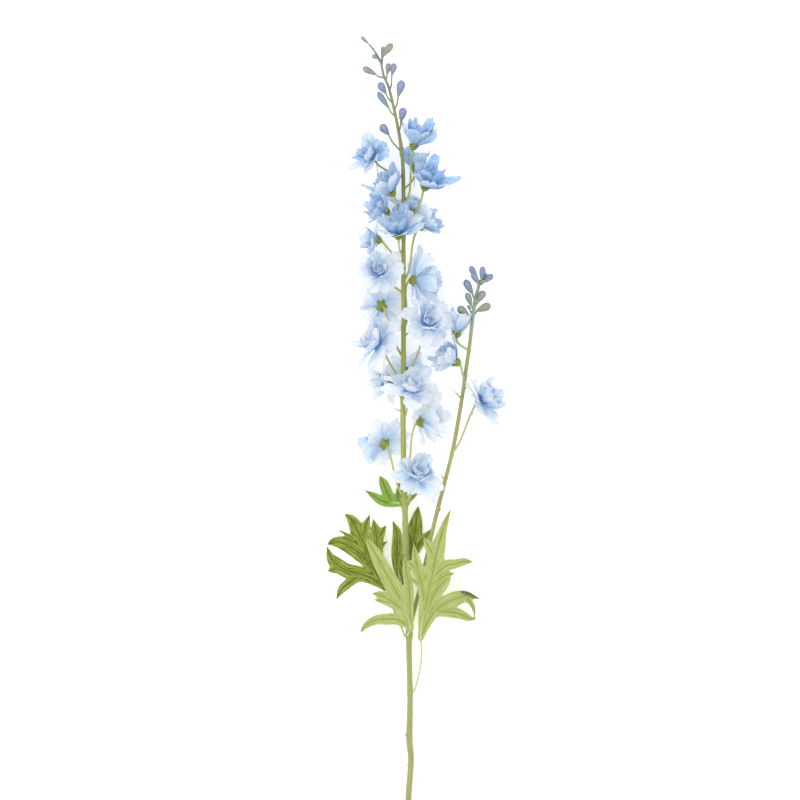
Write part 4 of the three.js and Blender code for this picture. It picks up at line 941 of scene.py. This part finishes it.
def bud_stalk(bud, table):
    start, _ = stem_at(table, bud.leaves)
    foot, tip = Vector(bud.foot), Vector(bud.tip)
    arrival = (tip - foot).normalized()
    points = stalk_points(start, foot + 0.05 * (tip - foot), arrival, BUD_STALK_STEPS)
    swell = [1 + 0.3 * math.exp(-i / 1.5) for i in range(BUD_STALK_STEPS + 1)]
    return tube("bud_stalk", points, [BUD_STALK_RADIUS * s for s in swell])


class DELPHINIUM_OT_buds(bpy.types.Operator):
    """Grow the buds on the tips of the stem and of the side shoot"""

    bl_idname = "delphinium.buds"
    bl_label = "Buds"

    def execute(self, context):
        colours = context.scene.delphinium_colours
        bpy.ops.mesh.primitive_uv_sphere_add(segments=20, ring_count=18, radius=1)
        template = bpy.context.active_object
        buds = joined([bud_body(template, bud) for bud in MAIN_BUDS + SIDE_BUDS], "buds")
        bpy.data.objects.remove(template)
        finished(cleaned(buds), bud_finish(colours), "stem")
        stalks = [bud_stalk(bud, MAIN_STEM) for bud in MAIN_BUDS]
        stalks += [bud_stalk(bud, SIDE_STEM) for bud in SIDE_BUDS]
        skin = stem_finish("bud_stalk_skin", colours.stem_shade, [
            (100, colours.shoot_high), (340, colours.stem_neck), (400, colours.stem_tip),
        ])
        finished(cleaned(joined(stalks, "bud_stalks")), skin, "stem")
        return {"FINISHED"}


# ------------------------------------------------------------------ blooms


def petal_points(flat, whorl, petal, draw):
    """A flat sheet bent into a petal: its rib arches outwards, its edges rise and ripple, its end is
    cleft and ragged."""
    across, share = flat[:, 0], (flat[:, 1] + 1) / 2
    phases = [draw.uniform(0, 2 * math.pi) for _ in range(5)]
    # The round end has a notch near its middle.
    notch = whorl.notch * draw.uniform(0.2, 1.3)
    skew = draw.uniform(-0.12, 0.12)
    end = 1.05 - 0.15 * across ** 4 - 0.04 * across ** 2 - notch * np.exp(-((across - skew) / 0.2) ** 2)
    end += 0.02 * np.sin(6 * across + phases[0])
    along = share * end
    # The rib bends evenly from its first lean to its last.
    half = petal["half"] * np.interp(share, PETAL_ALONG, PETAL_HALF)
    start, bend = petal["start"], petal["end"] - petal["start"]
    lean = start + bend * along
    out = HUB_RADIUS + petal["length"] * (math.cos(start) - np.cos(lean)) / bend
    up = petal["rise"] + petal["length"] * (np.sin(lean) - math.sin(start)) / bend
    normal = np.stack([-np.cos(lean), np.zeros_like(lean), np.sin(lean)], axis=1)
    # The blade is cupped and laid like a pinwheel's, with ripples that grow towards its edges and end.
    lift = half * (whorl.cup * across ** 2 * along + PINWHEEL * across)
    ripple = whorl.ruffle * petal["length"] * across ** 2 * share ** 1.5
    lift += ripple * np.sin(5.5 * share + 2.5 * np.sign(across) + phases[2])
    lift += 0.1 * ripple * np.sin(11 * share + phases[3] + 3 * across)
    lift += 0.35 * whorl.ruffle * petal["length"] * share ** 3 * np.sin(4 * across + phases[4])
    lift += 0.25 * share * np.sin(8 * across + phases[1])
    # The end curls back, and the rib lies in a groove.
    lift -= whorl.curl * draw.uniform(0.2, 1.2) * petal["length"] * np.clip(share - 0.7, 0, 1) ** 2 * 3
    lift -= 0.3 * np.exp(-(across / 0.12) ** 2) * np.sin(np.pi * share)
    points = np.stack([out, across * half, up], axis=1) + normal * lift[:, None]
    turn = np.array(Matrix.Rotation(petal["turn"], 3, "Z"))
    return points @ turn.T


def bloom_petals(bloom, index):
    """Each whorl's petals. Those that the solid model has come first, with its own wobbles."""
    steady = wobbles(index + 1)
    loose = random.Random(index)
    width = CLOSED_WIDTH + (1 - CLOSED_WIDTH) * bloom.open
    for whorl in WHORLS:
        for k in range(PETALS):
            if whorl.solid is None:
                tilt, turn, length = (loose.uniform(-LOOSE, LOOSE) for _ in range(3))
            else:
                tilt, turn, length = (next(steady) for _ in range(3))
            start, end = (shut + (full - shut) * bloom.open for shut, full in zip(whorl.closed, whorl.lean))
            yield whorl, {
                "turn": math.radians(36 * (2 * k + whorl.step) + 18 + WOBBLE_TURN * turn),
                "length": bloom.across * whorl.length * (1 + WOBBLE_LENGTH * length),
                "half": bloom.across * whorl.half * width,
                "start": math.radians(start),
                "end": math.radians(end + WOBBLE_LEAN * tilt),
                "rise": HUB_STEP * (whorl.level + 0.5),
            }


def bloom_piece(bloom, index, sheet):
    matrix = bloom_matrix(bloom, index)
    flat = places(sheet.data)
    draw = random.Random(4000 + index)
    petals = []
    for whorl, petal in bloom_petals(bloom, index):
        obj = sheet.copy()
        obj.data = sheet.data.copy()
        bpy.context.scene.collection.objects.link(obj)
        set_places(obj.data, placed(petal_points(flat, whorl, petal, draw), matrix))
        own = draw.uniform(*OWN_BLUE) * (0.3 + bloom.blue)
        between = 0.9 * whorl.heart * (1 - whorl.heart)  # most between the disc and the heart
        set_value(obj.data, "blue", np.clip(bloom.blue + between + own, 0, 1.3))
        set_value(obj.data, "heart", whorl.heart)
        petals.append(obj)
    return joined(petals, bloom.name + "_petals")


class DELPHINIUM_OT_blooms(bpy.types.Operator):
    """Grow every bloom, petal by petal"""

    bl_idname = "delphinium.blooms"
    bl_label = "Blooms"

    def execute(self, context):
        sizes, colours = context.scene.delphinium_sizes, context.scene.delphinium_colours
        skin = petal_finish(colours)
        bpy.ops.mesh.primitive_grid_add(x_subdivisions=PETAL_GRID[0], y_subdivisions=PETAL_GRID[1], size=2)
        sheet = bpy.context.active_object
        for index, bloom in enumerate(BLOOMS):
            piece = sided(thickened(bloom_piece(bloom, index, sheet), sizes.petal_thickness))
            finished(piece, skin, "petals", bloom.name)
        bpy.data.objects.remove(sheet)
        return {"FINISHED"}


# ------------------------------------------------------------------ leaves


def lobe_field(rows, x, y):
    """For points in the plane: how far each lies outside the lobe, its height, its distance from the
    rib and its distance along it."""
    best = np.full(x.shape, np.inf)
    height, side, run = np.zeros_like(x), np.zeros_like(x), np.zeros_like(x)
    passed = 0.0
    for a, b in zip(rows, rows[1:]):
        step = b[:2] - a[:2]
        length = np.hypot(*step)
        t = np.clip(((x - a[0]) * step[0] + (y - a[1]) * step[1]) / length ** 2, 0, 1)
        dx, dy = x - a[0] - t * step[0], y - a[1] - t * step[1]
        gap = np.hypot(dx, dy)
        outside = gap - (a[3] + t * (b[3] - a[3]))
        better = outside < best
        best = np.where(better, outside, best)
        height = np.where(better, a[2] + t * (b[2] - a[2]), height)
        side = np.where(better, gap, side)
        run = np.where(better, passed + t * length, run)
        passed += length
    return best, height, side, run


def leaf_surface(leaf, spacing, x, y):
    """The leaf as a field over the plane: outside distance, height, veins, nearness to the rim, and the
    distances from the rib and along it."""
    fields = [lobe_field(smooth_rows(lobe, 6), x, y) for lobe in leaf.lobes]
    outside = np.stack([f[0] for f in fields])
    weights = np.exp(-(outside - outside.min(axis=0)) / LOBE_BLEND)
    union = outside.min(axis=0) - LOBE_BLEND * 0.6 * np.log(weights.sum(axis=0))
    weights /= weights.sum(axis=0)
    heights = np.stack([f[1] + leaf.fold * f[2] for f in fields])
    height = (weights * heights).sum(axis=0)
    height += 0.5 * np.sin(x / 6 + 1) * np.sin(y / 8) + 0.35 * np.sin((x + y) / 3.4)
    veins = np.zeros_like(x)
    for share, (_, _, side, run) in zip(weights, fields):
        midrib = np.exp(-(side / MIDRIB_WIDTH) ** 2)
        phase = (run - 1.3 * side) / spacing
        twig = np.exp(-(((phase - np.round(phase)) * spacing) / TWIG_WIDTH) ** 2) * np.exp(-side / TWIG_REACH)
        veins = np.maximum(veins, share * np.maximum(midrib, 0.6 * twig))
    aside, ahead = ((weights * np.stack([f[k] for f in fields])).sum(axis=0) for k in (2, 3))
    return union, height, np.clip(veins, 0, 1), np.exp(np.minimum(union, 0) / 0.9), aside, ahead


def cut_away(piece, unwanted):
    """Splits a grid into triangles and deletes its unwanted vertices."""
    only_select(piece)
    bpy.ops.object.mode_set(mode="EDIT")
    bpy.ops.mesh.select_all(action="SELECT")
    bpy.ops.mesh.quads_convert_to_tris(quad_method="SHORTEST_DIAGONAL")
    bpy.ops.mesh.select_all(action="DESELECT")
    bpy.ops.object.mode_set(mode="OBJECT")
    piece.data.vertices.foreach_set("select", unwanted)
    bpy.ops.object.mode_set(mode="EDIT")
    bpy.ops.mesh.select_mode(type="VERT")
    bpy.ops.mesh.delete(type="VERT")
    bpy.ops.mesh.select_all(action="SELECT")
    bpy.ops.mesh.delete_loose()
    bpy.ops.object.mode_set(mode="OBJECT")
    return piece


def leaf_blade(leaf, cell, spacing):
    """A grid cut to the leaf's outline and raised to its surface."""
    ribs = np.array([row for lobe in leaf.lobes for row in lobe], float)
    low = ribs[:, :2].min(axis=0) - 10
    high = ribs[:, :2].max(axis=0) + 10
    counts = np.ceil((high - low) / cell).astype(int)
    bpy.ops.mesh.primitive_grid_add(x_subdivisions=int(counts[0]), y_subdivisions=int(counts[1]), size=1)
    blade = bpy.context.active_object
    flat = places(blade.data)
    flat = (flat - flat.min(axis=0))[:, :2] * counts * cell + low
    union, *_ = leaf_surface(leaf, spacing, *flat.T)
    # The vertices next to the outline move onto it, along the field's slope.
    step = 0.1
    slope = np.stack([
        (leaf_surface(leaf, spacing, flat[:, 0] + dx, flat[:, 1] + dy)[0] - union) / step
        for dx, dy in ((step, 0), (0, step))
    ], axis=1)
    slope /= np.maximum(np.linalg.norm(slope, axis=1, keepdims=True), 0.5)
    near = (union > -0.3 * cell) & (union < 0.8 * cell)
    flat[near] -= union[near, None] * slope[near]
    _, height, veins, *others = leaf_surface(leaf, spacing, *flat.T)
    height = soft_floor(height - 0.25 * veins)
    set_places(blade.data, np.column_stack([flat, height]) * MM)
    # The places painted with the shaded underside, listed by x, y and reach.
    turned = np.zeros(len(flat))
    for x, y, reach in leaf.turned:
        turned = np.maximum(turned, np.exp(-(np.hypot(flat[:, 0] - x, flat[:, 1] - y) / reach) ** 4))
    for name, values in zip(LEAF_VALUES, (veins, *others, turned, 0.0)):
        set_value(blade.data, name, values)
    return cut_away(blade, union >= 0.8 * cell)


def leaf_stalk(leaf):
    start, radius = stem_at(MAIN_STEM, leaf.leaves)
    side = Vector(leaf.side).normalized()
    start += (radius - 0.5) * side
    stations = [(*start, 1.35), (*(start + 2.4 * side), 1.05)]
    stations += [(*point, LEAF_STALK_RADIUS) for point in leaf.stalk]
    palm = leaf.lobes[0]
    stations.append((*palm[1][:3], 0.35))
    rows = smooth_rows(stations, 7)
    stalk = tube("leaf_stalk", rows[:, :3], rows[:, 3])
    for name in LEAF_VALUES:
        set_value(stalk.data, name, name == "stalk")
    return stalk


class DELPHINIUM_OT_leaves(bpy.types.Operator):
    """Grow the leaves, each cut into its lobes"""

    bl_idname = "delphinium.leaves"
    bl_label = "Leaves"

    def execute(self, context):
        sizes, colours = context.scene.delphinium_sizes, context.scene.delphinium_colours
        young, older, fresh = (
            leaf_finish(
                f"{name}_leaf_blade", body, shade, light, colours.vein, colours.leaf_shaded_underside, mottle
            )
            for name, body, shade, light, mottle in (
                ("young", colours.leaf_pale, colours.leaf_pale_shade, colours.vein, 0.5),
                ("older", colours.leaf_deep, colours.leaf_deep_shade, colours.leaf_deep_light, 0.95),
                ("fresh", colours.leaf_fresh, colours.leaf_fresh_shade, colours.vein, 0.4),
            )
        )
        for leaf in LEAVES:
            blade = leaf_blade(leaf, sizes.leaf_grid / MM, sizes.vein_spacing / MM)
            thickened(blade, sizes.leaf_thickness)
            piece = joined([blade, cleaned(leaf_stalk(leaf))], leaf.name + "_blade")
            skin = young if leaf.slot == "pale_leaf" else fresh if "upper" in leaf.name else older
            finished(piece, skin, leaf.slot, leaf.name)
        return {"FINISHED"}


# ------------------------------------------------------------------ stage


class DELPHINIUM_OT_stage(bpy.types.Operator):
    """Lay the floor, hang the lights and set the camera"""

    bl_idname = "delphinium.stage"
    bl_label = "Floor, light and camera"

    def execute(self, context):
        scene = context.scene
        bpy.ops.object.select_all(action="DESELECT")
        bpy.ops.mesh.primitive_plane_add(size=FLOOR_SIDE, location=(0, 0, 0))
        floor = context.active_object
        floor.name = "floor"
        floor.data.materials.append(floor_finish(scene.delphinium_colours))
        world = bpy.data.worlds.new("studio")
        world.use_nodes = True
        world.node_tree.nodes["Background"].inputs["Color"].default_value = linear("#ffffff")
        world.node_tree.nodes["Background"].inputs["Strength"].default_value = 0.9
        scene.world = world
        centre = Vector(VIEW_CENTRE) * MM
        for name, (place, power, side) in LAMPS.items():
            bpy.ops.object.light_add(type="AREA", location=place)
            lamp = context.active_object
            lamp.name = name
            lamp.data.energy = power
            lamp.data.size = side
            lamp.rotation_euler = (centre - Vector(place)).to_track_quat("-Z", "Y").to_euler()
        bpy.ops.object.camera_add(location=centre + CAMERA_DISTANCE * UP, rotation=(0, 0, 0))
        camera = context.active_object
        camera.name = "camera"
        camera.data.sensor_width = SENSOR_WIDTH
        camera.data.lens = SENSOR_WIDTH * CAMERA_DISTANCE / (VIEW_SIDE * MM)
        scene.camera = camera
        scene.view_settings.view_transform = "Standard"
        return {"FINISHED"}


# ------------------------------------------------------------------ panel and registration

STEPS = (
    DELPHINIUM_OT_stage,
    DELPHINIUM_OT_stems,
    DELPHINIUM_OT_stalks,
    DELPHINIUM_OT_buds,
    DELPHINIUM_OT_blooms,
    DELPHINIUM_OT_leaves,
)


class VIEW3D_PT_delphinium(bpy.types.Panel):
    bl_label = "Delphinium"
    bl_space_type = "VIEW_3D"
    bl_region_type = "UI"
    bl_category = "Delphinium"

    def draw(self, context):
        for group in (context.scene.delphinium_sizes, context.scene.delphinium_colours):
            for name in group.__annotations__:
                self.layout.prop(group, name)
        for step in STEPS:
            self.layout.operator(step.bl_idname)


CLASSES = (DelphiniumSizes, DelphiniumColours, *STEPS, VIEW3D_PT_delphinium)


def register():
    for cls in CLASSES:
        bpy.utils.register_class(cls)
    bpy.types.Scene.delphinium_sizes = bpy.props.PointerProperty(type=DelphiniumSizes)
    bpy.types.Scene.delphinium_colours = bpy.props.PointerProperty(type=DelphiniumColours)


def unregister():
    del bpy.types.Scene.delphinium_colours
    del bpy.types.Scene.delphinium_sizes
    for cls in reversed(CLASSES):
        bpy.utils.unregister_class(cls)


def main():
    register()
    bpy.ops.delphinium.stage()
    bpy.ops.delphinium.stems()
    bpy.ops.delphinium.stalks()
    bpy.ops.delphinium.buds()
    bpy.ops.delphinium.blooms()
    bpy.ops.delphinium.leaves()
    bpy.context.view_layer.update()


if __name__ == "__main__":
    main()
